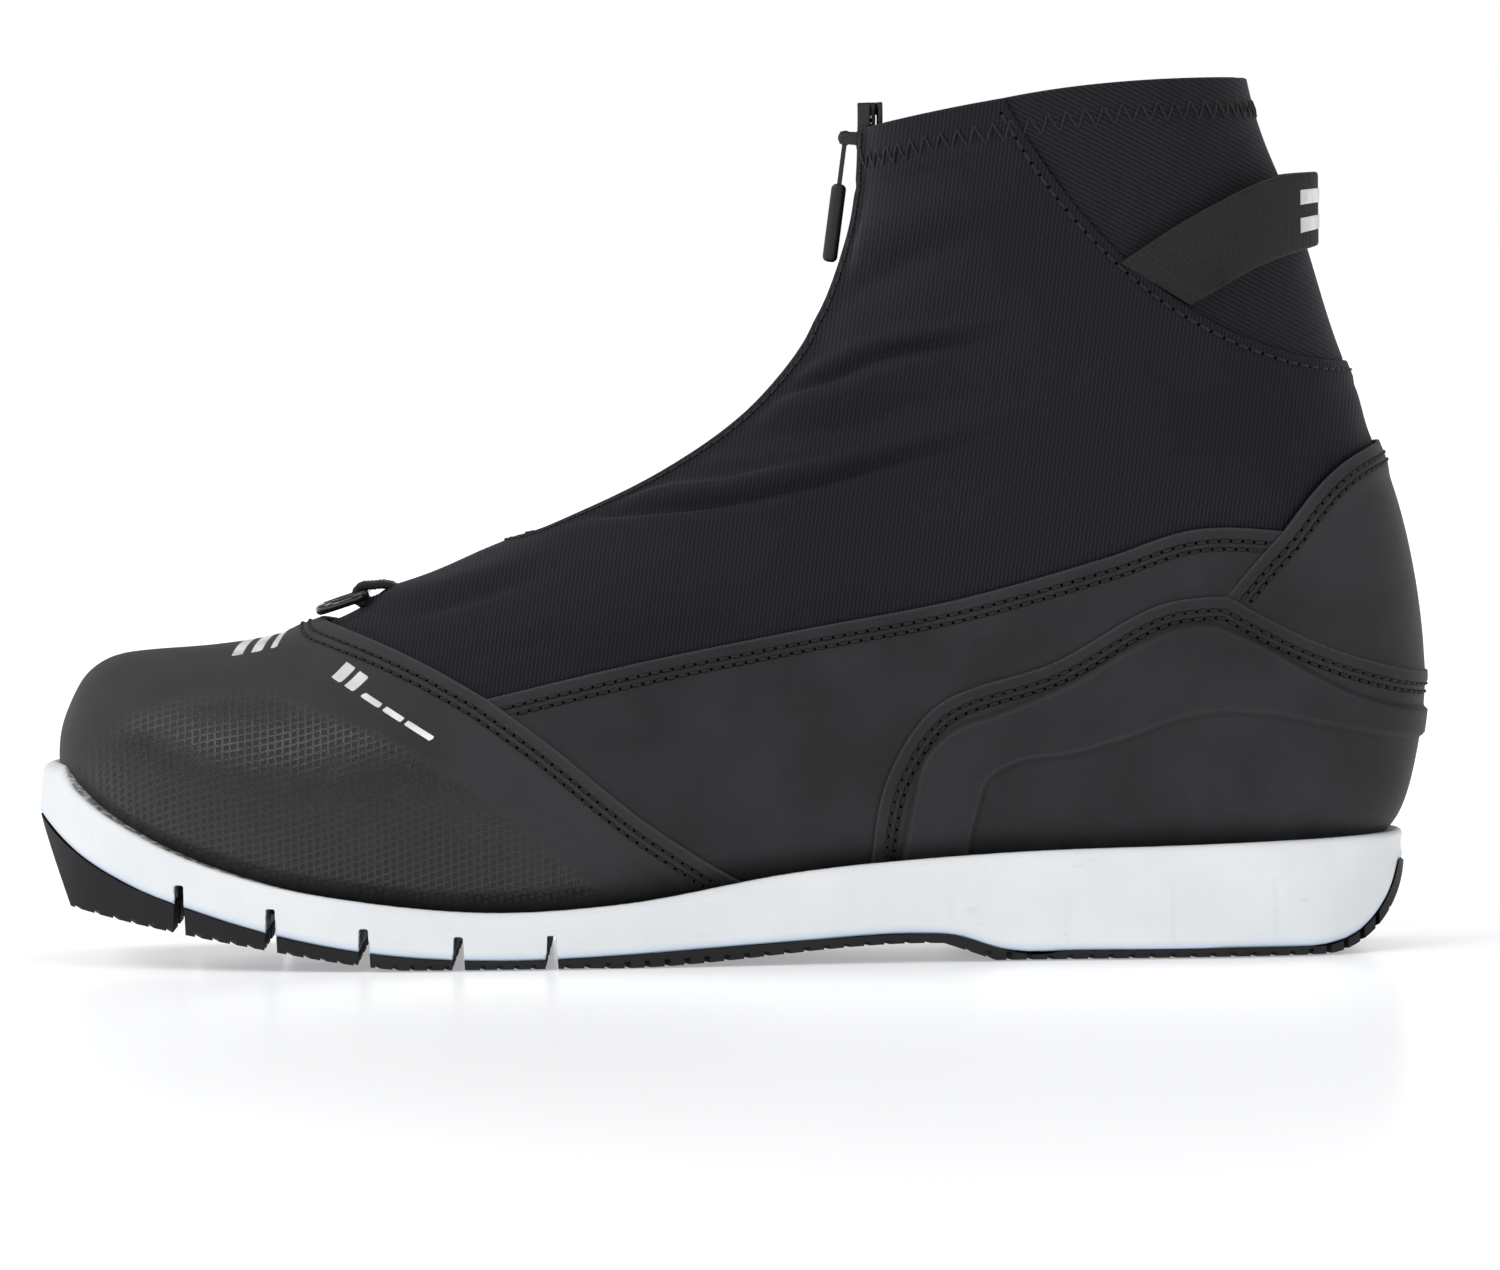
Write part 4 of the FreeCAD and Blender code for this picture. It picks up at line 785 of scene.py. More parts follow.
def leather_look(name, colour, with_grid=False):
    """Dull leather with stitch channels and moulded lines, and on the toe with a glossier grid. Painted shade
    darkens the stitch channels and the corners beside the moulded band, a painted highlight lightens the band's
    crests, and the cut edge is lighter from rubbed wear and a painted highlight.
    """
    look = Look(name, colour, 0.6, sheen_weight=0.05, sheen_roughness=0.5,
                specular_ior_level=0.5 if with_grid else 0.3)
    patches = look.noise(26.0, 3.0)
    grain = look.noise(0.42, 4.0, 0.7)
    pores = look.cells(0.75)
    base = look.mix(look.span(patches, 0.3, 0.7), shade(colour, 0.72), shade(colour, 1.3))
    # Lighter speckled colour within 0.9 mm of the cut edge: partly rubbed wear, partly a painted highlight along
    # the edge.
    rubbed_edge_and_highlight = look.span(look.value("edge"), 0.0, 0.9, 0.55, 0.0)
    base = look.mix(look.maths("MULTIPLY", rubbed_edge_and_highlight, look.span(grain, 0.3, 0.65)), base, (0.085, 0.085, 0.09))
    channel = look.maths("MAXIMUM", dot_row(look, ROWS[0], 0.55), dot_row(look, ROWS[1], 0.55))
    # Painted shade: the sunken stitch channels are darkened.
    base = look.mix(look.maths("MULTIPLY", channel, 0.3), base, (0.006, 0.006, 0.007))
    moulded = look.value("moulded")
    # Painted shade in the corners beside the counter's raised band, and a painted highlight on its crests.
    base = look.mix(look.span(moulded, 0.1, 1.0, 0.0, 0.6), base, (0.005, 0.005, 0.006))
    base = look.mix(look.span(moulded, -1.0, -0.1, 0.55, 0.0), base, (0.036, 0.036, 0.04))
    gloss = look.span(grain, 0.25, 0.75, 0.68 if with_grid else 0.54, 0.82 if with_grid else 0.7)
    if with_grid:
        zone = look.value("zone")
        lines = look.maths("MAXIMUM", look.ribs_of("girth", GRID_PITCH), look.ribs_of("reach", GRID_PITCH))
        lines = look.span(lines, 0.45, 0.8)
        inked = look.maths("MULTIPLY", lines, zone)
        worn = look.span(look.noise(9.0, 4.0, 0.6), 0.30, 0.52, 0.7, 1.0)
        inked = look.maths("MULTIPLY", inked, worn)
        base = look.mix(look.maths("MULTIPLY", inked, 0.8), base, (0.007, 0.007, 0.008))
        gloss = look.maths("SUBTRACT", gloss, look.maths("MULTIPLY", inked, 0.5))
        look.bump(inked, 0.2)
    look.colour(base)
    look.roughness(gloss)
    look.bump(patches, 0.25, 0.6)
    look.bump(grain, 0.07)
    look.bump(look.span(pores, 0.0, 0.5), 0.03)
    look.bump(look.maths("SUBTRACT", 1.0, channel), 0.28)
    return look.material


def fabric_look(name, colour, pitch, angle, depth=0.07, sheen=0.12):
    look = Look(name, colour, 0.8, sheen_weight=sheen, sheen_roughness=0.35, sheen_tint=(0.55, 0.57, 0.66, 1.0),
                specular_ior_level=0.2)
    ribs = look.ribs(pitch, angle, 0.6)
    cross = look.ribs(pitch * 0.42, angle + 90, 0.4)
    patches = look.noise(34.0, 3.0)
    fuzz = look.noise(0.22, 3.0, 0.7)
    dark = shade(colour, 0.55)
    base = look.mix(look.span(ribs, 0.2, 0.8), dark, shade(colour, 1.55))
    base = look.mix(look.span(patches, 0.35, 0.7, 0.0, 0.3), base, dark)
    look.colour(base)
    look.roughness(look.span(fuzz, 0.2, 0.8, 0.66, 0.86))
    look.bump(patches, 0.35, 0.5)
    look.bump(ribs, depth)
    look.bump(cross, depth * 0.35)
    look.bump(fuzz, 0.05)
    return look.material


def webbing_look(name, colour):
    look = Look(name, colour, 0.62, sheen_weight=0.1, sheen_roughness=0.4, specular_ior_level=0.25)
    weave = look.noise((0.35, 0.35, 0.9), 2.0)
    base = look.mix(look.span(weave, 0.3, 0.7), shade(colour, 0.6), shade(colour, 1.5))
    look.colour(base)
    look.roughness(look.span(weave, 0.3, 0.7, 0.52, 0.72))
    look.bump(weave, 0.1)
    return look.material


def foam_look():
    look = Look("midsole_white", (0.84, 0.87, 0.89), 0.42, subsurface_weight=0.04, subsurface_scale=0.004)
    patches = look.noise(22.0, 3.0)
    grain = look.noise(0.6, 3.0)
    base = look.mix(look.span(patches, 0.35, 0.7), (0.81, 0.845, 0.87), (0.87, 0.89, 0.905))
    cool = look.span(look.value("low"), 0.0, 2.2, 0.8, 0.0)
    base = look.mix(cool, base, (0.50, 0.65, 0.83))
    scuff = look.span(look.noise((7.0, 7.0, 2.0), 5.0), 0.66, 0.74, 0.0, 0.16)
    base = look.mix(scuff, base, (0.52, 0.53, 0.52))
    glue = look.maths("MULTIPLY", look.span(look.value("rim"), 0.15, 1.0, 1.0, 0.0),
                      look.span(look.noise((2.4, 2.4, 0.8), 4.0), 0.34, 0.62, 0.15, 0.95))
    base = look.mix(glue, base, (0.15, 0.105, 0.075))
    look.colour(base)
    look.roughness(look.span(grain, 0.3, 0.7, 0.36, 0.5))
    look.bump(patches, 0.2, 0.4)
    look.bump(grain, 0.02)
    return look.material


def speckled_look(name, colour, roughness, size=0.5, depth=0.04, **inputs):
    look = Look(name, colour, roughness, **inputs)
    grain = look.noise(size, 4.0, 0.65)
    patches = look.noise(size * 30, 2.0)
    base = look.mix(look.span(patches, 0.3, 0.7), shade(colour, 0.8), shade(colour, 1.2))
    look.colour(base)
    look.roughness(look.span(grain, 0.25, 0.75, max(roughness - 0.07, 0.05), roughness + 0.07))
    look.bump(grain, depth)
    return look.material


def brushed_look(name, colour, roughness, stretch):
    look = Look(name, colour, roughness, metallic=1.0)
    streaks = look.noise(stretch, 3.0)
    look.colour(look.mix(look.span(streaks, 0.3, 0.7), shade(colour, 0.75), colour))
    look.roughness(look.span(streaks, 0.3, 0.7, roughness - 0.06, roughness + 0.1))
    look.bump(streaks, 0.01)
    return look.material


def fleece_look(name, colour):
    look = Look(name, colour, 0.95, sheen_weight=0.7, sheen_roughness=0.6)
    tufts = look.cells(1.5)
    fuzz = look.noise(0.35, 5.0, 0.75)
    base = look.mix(look.span(tufts, 0.1, 0.7), shade(colour, 1.5), shade(colour, 0.5))
    look.colour(look.mix(look.span(fuzz, 0.35, 0.65, 0.0, 0.5), base, shade(colour, 1.9)))
    look.bump(tufts, 0.5, 0.8)
    look.bump(fuzz, 0.25)
    return look.material


LEATHER = (0.0165, 0.0165, 0.0192)
leather = leather_look("overlay_leather", LEATHER)
toe_leather = leather_look("toe_leather", LEATHER, with_grid=True)
stretch_fabric = fabric_look("stretch_softshell", (0.0095, 0.0095, 0.0138), 0.85, -8.0)
rear_fabric = fabric_look("rear_twill", (0.0115, 0.0115, 0.0145), 0.95, 62.0, 0.09, 0.12)
webbing = webbing_look("ribbed_webbing", (0.0125, 0.0125, 0.013))
thread = webbing_look("sewing_thread", (0.014, 0.014, 0.016))
# Near-black finish of the needle-hole discs: painted shade in the holes.
needle_hole = speckled_look("needle_hole", (0.002, 0.002, 0.002), 0.95, specular_ior_level=0.0)
white_yarn = speckled_look("white_yarn", (0.78, 0.78, 0.76), 0.6, 0.3, 0.06)
print_ink = speckled_look("print_ink", (0.80, 0.80, 0.80), 0.4, 0.3, 0.02)
white_foam = foam_look()
rubber = speckled_look("outsole_rubber", (0.0095, 0.0095, 0.0105), 0.6, 0.6, 0.06, specular_ior_level=0.3)
gloss_plastic = speckled_look("ring_plastic", (0.008, 0.008, 0.009), 0.16, 2.0, 0.015,
                              coat_weight=0.5, coat_roughness=0.08)
slider_metal = brushed_look("black_nickel", (0.05, 0.05, 0.054), 0.22, (0.5, 0.15, 0.5))
steel = brushed_look("bar_steel", (0.56, 0.56, 0.57), 0.27, (0.12, 4.0, 0.12))
grip_rubber = speckled_look("grip_rubber", (0.011, 0.011, 0.012), 0.5, 0.35, 0.04)
coil_nylon = speckled_look("coil_nylon", (0.012, 0.012, 0.013), 0.35, 0.4, 0.03)
tape_weave = fabric_look("zip_tape_weave", (0.010, 0.010, 0.012), 0.8, 0.0, 0.09, 0.2)
fleece = fleece_look("fleece_lining", (0.026, 0.026, 0.029))
knit = fabric_look("footbed_knit", (0.05, 0.05, 0.055), 1.4, 20.0, 0.12, 0.3)
board_fibre = speckled_look("board_fibre", (0.33, 0.25, 0.16), 0.85, 0.7, 0.12)
stiff_film = speckled_look("stiffener_film", (0.20, 0.20, 0.19), 0.6, 0.9, 0.05)
cup_plastic = speckled_look("heel_cup_plastic", (0.10, 0.10, 0.11), 0.45, 0.9, 0.03)
open_foam = speckled_look("open_foam", (0.06, 0.06, 0.065), 0.9, 0.5, 0.2)
elastic = fabric_look("collar_elastic_knit", (0.02, 0.02, 0.02), 1.1, 0.0, 0.12, 0.2)

# ---------------------------------------------------------------- upper: heights over the last's skin
LAP = 3.0                            # how far a lower layer runs on under an upper one
TUCK = 4.0                           # how far the upper goes down behind the midsole's rim
fine = Grid(0.62)
plain = Grid(0.8)


def above_rim(at):
    return rim_seam(at) + TUCK


def above_overlays(at):
    """Distance from the overlays, above zero on the fabric."""
    return -np.maximum(np.maximum(toe_seam(at), quarter_top(at)), panel_edge(at))


# Folds of the stretch fabric. Each is a line in side view: (points, width, depth,
# share on the inner side).
FOLDS = [
    ([(-31.0, 95.2), (-6.1, 96.9), (15.6, 101.0), (37.3, 107.2), (60.0, 113.4)], 1.5, 1.15, 0.7),
    ([(6.0, 119.6), (22.3, 123.4), (33.2, 128.6), (47.0, 131.8), (62.0, 134.2)], 1.6, 1.0, 0.6),
    ([(20.0, 139.5), (30.0, 144.0), (42.0, 150.6), (56.0, 156.0), (74.0, 160.0)], 4.2, 1.0, 0.8),
    ([(-77.0, 73.2), (-66.0, 75.0), (-52.0, 78.6), (-36.0, 84.0)], 2.0, 0.7, 0.6),
    ([(2.0, 110.0), (20.0, 112.0), (40.0, 118.4), (62.0, 121.0)], 3.8, 0.8, 0.5),
    ([(-12.0, 103.5), (8.0, 104.8), (24.0, 108.5)], 1.8, 0.35, 0.4),
    ([(34.0, 171.0), (44.0, 166.5), (58.0, 164.0), (70.0, 163.0)], 4.0, 0.55, 0.7),
    ([(-60.0, 64.0), (-48.0, 66.4), (-30.0, 70.8)], 2.2, 0.4, 0.5),
    ([(84.0, 132.0), (104.0, 119.0), (124.0, 111.0)], 6.0, 0.45, 0.8),
]
SKYWARD = 210.0                      # a z above the whole boot
FOLD_LINES = [(Seam([points], inside=(points[0][0], SKYWARD)), np.array(points), width, depth, inner)
              for points, width, depth, inner in FOLDS]


def folds(at):
    """Creases of the stretch fabric: a sharp valley under a soft ridge, fading out at both ends."""
    total = np.zeros(len(at.x))
    for line, points, width, depth, inner in FOLD_LINES:
        over = line(at)
        run = points[-1] - points[0]
        share = ((at.x - points[0][0]) * run[0] + (at.z - points[0][1]) * run[1]) / (run @ run)
        fade = step_up(share, -0.12, 0.12) * step_up(1 - share, -0.15, 0.45)
        crease = -1.35 * bell(over, 0, 0.75 * width) + 1.7 * bell(over, 1.8 * width, 1.2 * width)
        crease += 0.85 * bell(over, -2.1 * width, 1.4 * width)
        total += depth * fade * crease * np.where(at.y < 0, 1.0, inner)
    slack = (0.16 * np.sin(at.x / 6.1 + at.z / 9.7 + 0.6) * np.sin(at.z / 7.3 - at.x / 15.0)
             + 0.08 * np.sin(at.x / 3.1 - at.z / 4.4 + at.y / 5.0))
    free = step_up(-quarter_top(at), 2, 16) * step_up(-toe_seam(at), 2, 12) * step_up(collar_line(at), 4, 14)
    return (total + slack) * free * step_up(beside_zip(at), 2, 9)


HEM = 12.5                           # width of the collar's hem
ZIP_LIP = 1.1                        # how far the fabric's edge rises along the zip
SWELL = 1.3


def swell(at):
    """How far the fabric stands out between its seams."""
    return SWELL * step_up(above_overlays(at), 1.0, 12.0)


def rear_height(at):
    tuck = 0.5 * step_up(-rear_seam(at), -0.6, 0.6)
    wave = 0.10 * np.sin(at.x / 5.3 + at.z / 8.0) * step_up(collar_line(at), 2, 12)
    return -0.95 - tuck + wave + swell(at)


def cover_height(at):
    ridge = 0.42 * (1 - step_up(-rear_seam(at), 3.4, 5.2))
    lips = 0.25 * bell(collar_line(at), HEM, 1.2)
    ridge = ridge + ZIP_LIP * (1 - step_up(beside_zip(at), 0.6, 4.5)) * step_up(zip_angle(at), -80.0, -55.0)
    ridge = ridge + swell(at)
    return -0.75 + ridge - 0.45 * step_up(-above_overlays(at), -0.5, 0.7) + folds(at) - lips


def quarter_height(at):
    return 0.1 - 0.3 * step_up(np.maximum(toe_seam(at), counter_edge(at)), 0.2, 1.5)


def toe_height(at):
    wave = 0.10 * np.sin(at.x / 13.0 + 1.0) * np.sin(at.z / 11.0)
    return 0.25 + 0.7 * (1 - step_up(toe_seam(at), 4.5, 10.0)) + wave


def panel_height(at):
    return 0.25 + (0.65 * (1 - step_up(panel_edge(at), 4.5, 9.0)) - 0.15) * step_up(-counter_edge(at), -1.0, 4.0)


def counter_height(at):
    band = step_up(band_top(at), -0.45, 0.45) * step_up(-band_low(at), -0.45, 0.45)
    return 0.25 + 0.6 * (1 - step_up(counter_edge(at), 2.0, 3.6)) + 1.0 * band


def band_painted_shade_and_highlight(at):
    """Above zero in the corners beside the counter's raised band, where painted shade goes, below zero on its
    crests, where a painted highlight goes.
    """
    corners = bell(band_top(at), -0.55, 0.45) + bell(band_low(at), 0.55, 0.45)
    crests = bell(band_top(at), 0.45, 0.4) + bell(band_low(at), -0.45, 0.4)
    return corners - crests


def hem_depth(at):
    return 0.7 + 2.5 * step_up(HEM - collar_line(at), 0.0, 1.4)


# A table of the distance round the last from its top centre line, for the toe cap's moulded grid.
GIRTH_ROWS, GIRTH_COLUMNS = 321, 181
TOP_COLUMN = (GIRTH_COLUMNS - 1) // 4
girth_net = Places(np.repeat(np.linspace(0, U_END, GIRTH_ROWS), GIRTH_COLUMNS),
                   np.tile(np.linspace(0, AROUND, GIRTH_COLUMNS), GIRTH_ROWS))
girth_steps = np.linalg.norm(np.diff(girth_net.point.reshape(GIRTH_ROWS, GIRTH_COLUMNS, 3), axis=1), axis=2)
GIRTHS = np.concatenate([np.zeros((GIRTH_ROWS, 1)), np.cumsum(girth_steps, axis=1)], axis=1)
GIRTHS -= GIRTHS[:, TOP_COLUMN:TOP_COLUMN + 1]


def girth(at):
    return bilinear(GIRTHS, at.u / U_END * (GIRTH_ROWS - 1), (at.v % AROUND) / AROUND * (GIRTH_COLUMNS - 1))


def grid_zone(at):
    """Where the moulded grid shows: a leaf on each side of the toe, cut off along the seam."""
    leaf = ((at.x + 70.0) / 72.0) ** 2 + ((at.z - 30.0 + 0.16 * (at.x + 70.0)) / 28.0) ** 2
    return step_up(toe_seam(at), 16.0, 19.0) * (1 - step_up(leaf, 0.72, 1.0)) * step_up(rim_seam(at), 0.5, 4.0)


OVERLAY = (0.8, 0.3)                 # thickness of an overlay, and how far its cut edge is rounded
EDGE = 0.45                          # rounding of the fabric's folded edges

panel("toe_cap_overlay", fine, lambda at: least(toe_seam(at), above_rim(at)), toe_height, *OVERLAY, toe_leather,
      values={"edge": toe_seam, "zone": grid_zone, "girth": girth, "reach": lambda at: at.x},
      slot="overlay_leather", replaces=["toe_cap"])
panel("heel_counter_overlay", fine, lambda at: least(counter_edge(at), above_rim(at)), counter_height, *OVERLAY,
      leather, values={"edge": counter_edge, "moulded": band_painted_shade_and_highlight}, slot="overlay_leather",
      replaces=["heel_counter"])
panel("heel_collar_overlay", plain, lambda at: least(panel_edge(at), LAP - counter_edge(at)), panel_height,
      *OVERLAY, leather, values={"edge": panel_edge}, slot="overlay_leather", replaces=["heel_collar_panel"])
rear_piece = panel("rear_ankle_fabric", plain, lambda at: least(rear_seam(at) + LAP, collar_line(at)), rear_height,
                   hem_depth, EDGE, rear_fabric, values={"edge": rear_seam}, slot="rear_fabric",
                   replaces=["rear_ankle_panel"])

SIDES = (("lateral", -1), ("medial", 1))
SIDE_LAP = 0.25                      # how far each side's panels cross the middle plane


def quarter_area(at, sign):
    return least(LAP - toe_seam(at), quarter_top(at), LAP - counter_edge(at), LAP - panel_edge(at),
                 above_rim(at), sign * at.y + SIDE_LAP)


def cover_area(at, sign):
    return least(LAP - toe_seam(at), LAP - quarter_top(at), LAP - panel_edge(at), -rear_seam(at),
                 collar_line(at), beside_zip(at), sign * at.y + SIDE_LAP)


for side, sign in SIDES:
    panel(f"quarter_overlay_{side}", plain, lambda at: quarter_area(at, sign), quarter_height, *OVERLAY, leather,
          values={"edge": quarter_top}, slot="overlay_leather", replaces=[f"quarter_{side}"])
    cover = panel(f"lace_cover_fabric_{side}", plain, lambda at: cover_area(at, sign), cover_height, hem_depth,
                  EDGE, stretch_fabric, values={"edge": lambda at: -rear_seam(at)}, slot="stretch_fabric",
                  replaces=[f"lace_cover_{side}"])


# ---------------------------------------------------------------- stitching
def rows_along(name, seam, levels, mask, height, pitch=PITCH):
    """Rows of stitches at some distances from a seam, where `mask` is above zero, with painted shade at their
    needle holes.
    """
    value = seam(plain.places)
    keep = mask(plain.places)
    threads, holes = [], []
    for number, level in enumerate(levels):
        for track in contours(plain, value, level, keep):
            start = 1.2 + 0.5 * pitch * (number % 2)
            threads.append(stitch_row(track, height, pitch, start))
            holes.append(hole_shade_discs(track, height, pitch, start))
    make_object(name, *join(threads), thread, slot="overlay_leather")
    make_object(f"{name}_holes", *join(holes), needle_hole, slot="overlay_leather")


rows_along("toe_cap_stitching", toe_seam, ROWS, lambda at: rim_seam(at) + 0.6, toe_height)
rows_along("quarter_stitching", quarter_top, ROWS,
           lambda at: least(-toe_seam(at), -counter_edge(at), -panel_edge(at), rim_seam(at)), quarter_height)
rows_along("counter_stitching", counter_edge, ROWS, lambda at: rim_seam(at) + 0.6, counter_height)
rows_along("heel_collar_stitching", panel_edge, ROWS, lambda at: -counter_edge(at) - 0.2, panel_height)
rows_along("rear_seam_stitching", lambda at: -rear_seam(at), (2.1,), lambda at: collar_line(at) - 1.0,
           cover_height, 3.1)

ZIGZAG = (4.9, 9.0)                  # between these distances from the collar's edge
ZIGZAG_PITCH = 1.95
ZIGZAG_SHAPE = [(0.0, -0.28), (0.10, 0.08), (0.5, 0.26), (0.9, 0.08), (1.0, -0.28)]   # (share, height)


def make_zigzag():
    """The collar's elastic zigzag seam, sewn through the hem."""
    near, far = ZIGZAG
    parts = []
    for track in contours(plain, collar_line(plain.places), (near + far) / 2, beside_zip(plain.places) - 1.5):
        count = int(track.length / ZIGZAG_PITCH)
        at = track.places(np.linspace(0.5, track.length - 0.5, count))
        across = unit(np.cross(np.gradient(at.point, axis=0), at.normal))
        swing = (far - near) / 2 * np.where(np.arange(count) % 2, 1, -1)
        lift = np.where(rear_seam(at) > 0, rear_height(at), cover_height(at))
        corners = at.point + at.normal * lift[:, None] + across * swing[:, None]
        start, end, up = corners[:-1], corners[1:], at.normal[:-1]
        paths = [start + (end - start) * share + up * height for share, height in ZIGZAG_SHAPE]
        parts.append(tubes(np.stack(paths, axis=1), np.repeat(up[:, None], len(paths), axis=1), THREAD))
    make_object("collar_zigzag_stitching", *join(parts), thread, slot="stretch_fabric")


make_zigzag()


# ---------------------------------------------------------------- printed marks, plain and generic
def slanted(at_along, at_up, start, end, low, high, lean=0.35):
    """Inside of a leaning bar in (along, up) millimetres, above zero within it."""
    shifted = at_along - lean * at_up
    return least(shifted - start, end - shifted, at_up - low, high - at_up)


SIDE_MARK = (-85.0, 61.6)            # where the side mark starts, (x, z)
MARK_SLOPE = math.radians(-32.0)
SIDE_BARS = [(0.0, 2.3, 0.0, 4.2), (3.3, 5.6, 0.0, 4.2), (7.4, 12.0, 0.0, 1.3), (12.9, 17.5, 0.0, 1.3),
             (18.4, 25.0, 0.0, 1.3)]   # (from, to, low, high) along and up from the start
TOP_BARS = [(-105.0, -102.6), (-100.8, -98.4), (-96.6, -95.2)]


def side_mark(at):
    x, z = at.x - SIDE_MARK[0], at.z - SIDE_MARK[1]
    along = x * math.cos(MARK_SLOPE) + z * math.sin(MARK_SLOPE)
    up = z * math.cos(MARK_SLOPE) - x * math.sin(MARK_SLOPE)
    bars = [slanted(along, up, *bar) for bar in SIDE_BARS]
    return least(np.maximum.reduce(bars), -at.y)


def top_mark(at):
    bars = [slanted(at.x, at.y - 2.0, start, end, -17.0, 17.0, 0.12) for start, end in TOP_BARS]
    return least(np.maximum.reduce(bars), at.z - 55.0)


for name, mark in (("toe_side_print", side_mark), ("toe_top_print", top_mark)):
    panel(name, fine, mark, lambda at: toe_height(at) + 0.05, 0.12, 0.02, print_ink, slot="overlay_leather")

# ---------------------------------------------------------------- lining, tongue and footbed
coarse = Grid(1.35)
FOOT_LINE = [(-150.0, 45.0), (-144.8, 39.0), (-133.5, 27.0), (-112.0, 17.3), (-97.0, 13.0), (-80.0, 10.1),
             (-60.0, 8.0), (-40.0, 7.7), (-20.0, 9.4), (13.0, 15.0), (47.7, 18.0), (90.0, 18.7), (124.0, 19.2),
             (160.0, 21.0)]
TONGUE_EDGE = [(-66.0, 50.0), (-30.0, 66.0), (0.0, 84.0), (24.0, 106.0), (40.0, 128.0), (50.0, 150.0),
               (54.0, 176.0)]
foot_seam = Seam([FOOT_LINE], inside=(0, 60))
tongue_seam = Seam([TONGUE_EDGE], inside=(-20, 110))
LINING_FRONT = -46.0                 # x where the fleece starts
THROAT = 15.0                        # half the gap in it, under the zip
THROAT_END = -82.0                   # the zip angle where that gap ends


def lining_area(at):
    in_throat = (at.x < BEHIND_ZIP) & (zip_angle(at) >= THROAT_END)
    throat = np.where(in_throat, np.abs(at.y) - THROAT, 30.0)
    return least(collar_line(at) - 8.0, at.x - LINING_FRONT, foot_seam(at) - 9.0, throat)


def nap(at):
    """The fleece's unevenness."""
    return 0.14 * np.sin(at.x * 1.7 + at.z * 0.9) * np.sin(at.z * 1.3 - at.y * 1.1)


lining = panel("ankle_lining_fleece", coarse, lining_area, lambda at: -3.7, lambda at: 2.3 + nap(at), 0.9,
               fleece, slot="lining_fleece", replaces=["lining_ankle"])


def tongue_area(at):
    return least(25.0 - np.abs(at.y), tongue_seam(at), collar_line(at) - 2.0, at.z - 60.0)


def tongue_swell(at):
    """The padding's thickness, with a sewn channel on each side of the middle."""
    edge = step_up(tongue_area(at), 0.0, 6.0)
    channel = bell(np.abs(at.y), 9.0, 1.1)
    return 1.3 + 2.0 * edge - 0.9 * channel * edge + nap(at)


tongue = panel("padded_tongue", coarse, tongue_area, lambda at: -6.2, tongue_swell, 1.1, fleece,
               slot="lining_fleece", replaces=["tongue"])


def copied(node, name):
    """A new object with a copy of a CAD node's mesh, on no body yet."""
    piece = placed(name, bpy.data.objects[node].data.copy())
    piece.data.materials.clear()
    return piece


def finished(piece, material, node, body="boot"):
    """Gives a reworked copy of a CAD node its material, and puts it in the node's place."""
    piece.data.materials.clear()
    piece.data.materials.append(material)
    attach(piece, body)
    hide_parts(node)
    return piece


def settle(piece):
    """Applies a piece's modifiers, so that its mesh is what is seen."""
    bpy.context.view_layer.update()
    graph = bpy.context.evaluated_depsgraph_get()
    mesh = bpy.data.meshes.new_from_object(piece.evaluated_get(graph), depsgraph=graph)
    piece.modifiers.clear()
    piece.data = mesh
    mesh.polygons.foreach_set("use_smooth", np.ones(len(mesh.polygons), bool))
    return piece


def softened(node, name, material, voxel, steps, body="boot"):
    """A CAD piece with its corners worn round: remeshed finely and relaxed in place."""
    piece = copied(node, name)
    remesh = piece.modifiers.new("remesh", "REMESH")
    remesh.mode = "VOXEL"
    remesh.voxel_size = voxel * MM
    relax = piece.modifiers.new("relax", "SMOOTH")
    relax.factor = 0.5
    relax.iterations = steps
    return finished(settle(piece), material, node, body)


footbed = softened("footbed", "footbed_insole", knit, 1.1, 4)

# ---------------------------------------------------------------- midsole
PLAN_LATERAL = [(-150.0, 5.0), (-147.5, -8.0), (-141.0, -19.5), (-128.0, -30.5), (-110.0, -39.8), (-88.0, -46.5),
                (-60.0, -49.6), (-35.0, -48.8), (-5.0, -44.2), (30.0, -39.6), (70.0, -37.2), (104.0, -36.0),
                (127.0, -30.5), (140.0, -19.0), (145.0, 0.0)]
PLAN_MEDIAL = [(140.0, 19.0), (127.0, 30.5), (104.0, 36.0), (70.0, 36.4), (30.0, 36.0), (0.0, 38.2), (-30.0, 44.0),
               (-60.0, 48.9), (-84.0, 49.6), (-108.0, 46.2), (-128.0, 38.5), (-141.0, 28.5), (-147.5, 18.0)]
NOTCHES = [(-118.0, 17.8), (-98.2, 13.0), (-78.3, 8.8), (-58.2, 7.0), (-38.4, 7.0)]     # (x, roof)
NOTCH_TOP = 1.9
NOTCH_MOUTH = 4.2
NOTCH_CORNER = 0.3
# Shallow upright marks in the heel's side: (x, from, to), the last two above the tread line.
TICKS = [(47.0, 3.4, 9.0), (72.0, 1.6, 11.5), (94.5, 1.6, 15.0), (116.5, 1.6, 15.0)]
TICK_DEPTH = 0.42


def line_height(stretches):
    """Height of a side-view line at each x."""
    line = np.concatenate([smooth_line(stretch, 1.0) for stretch in stretches])
    order = np.argsort(line[:, 0], kind="stable")
    return lambda x: np.interp(x, line[order, 0], line[order, 1])


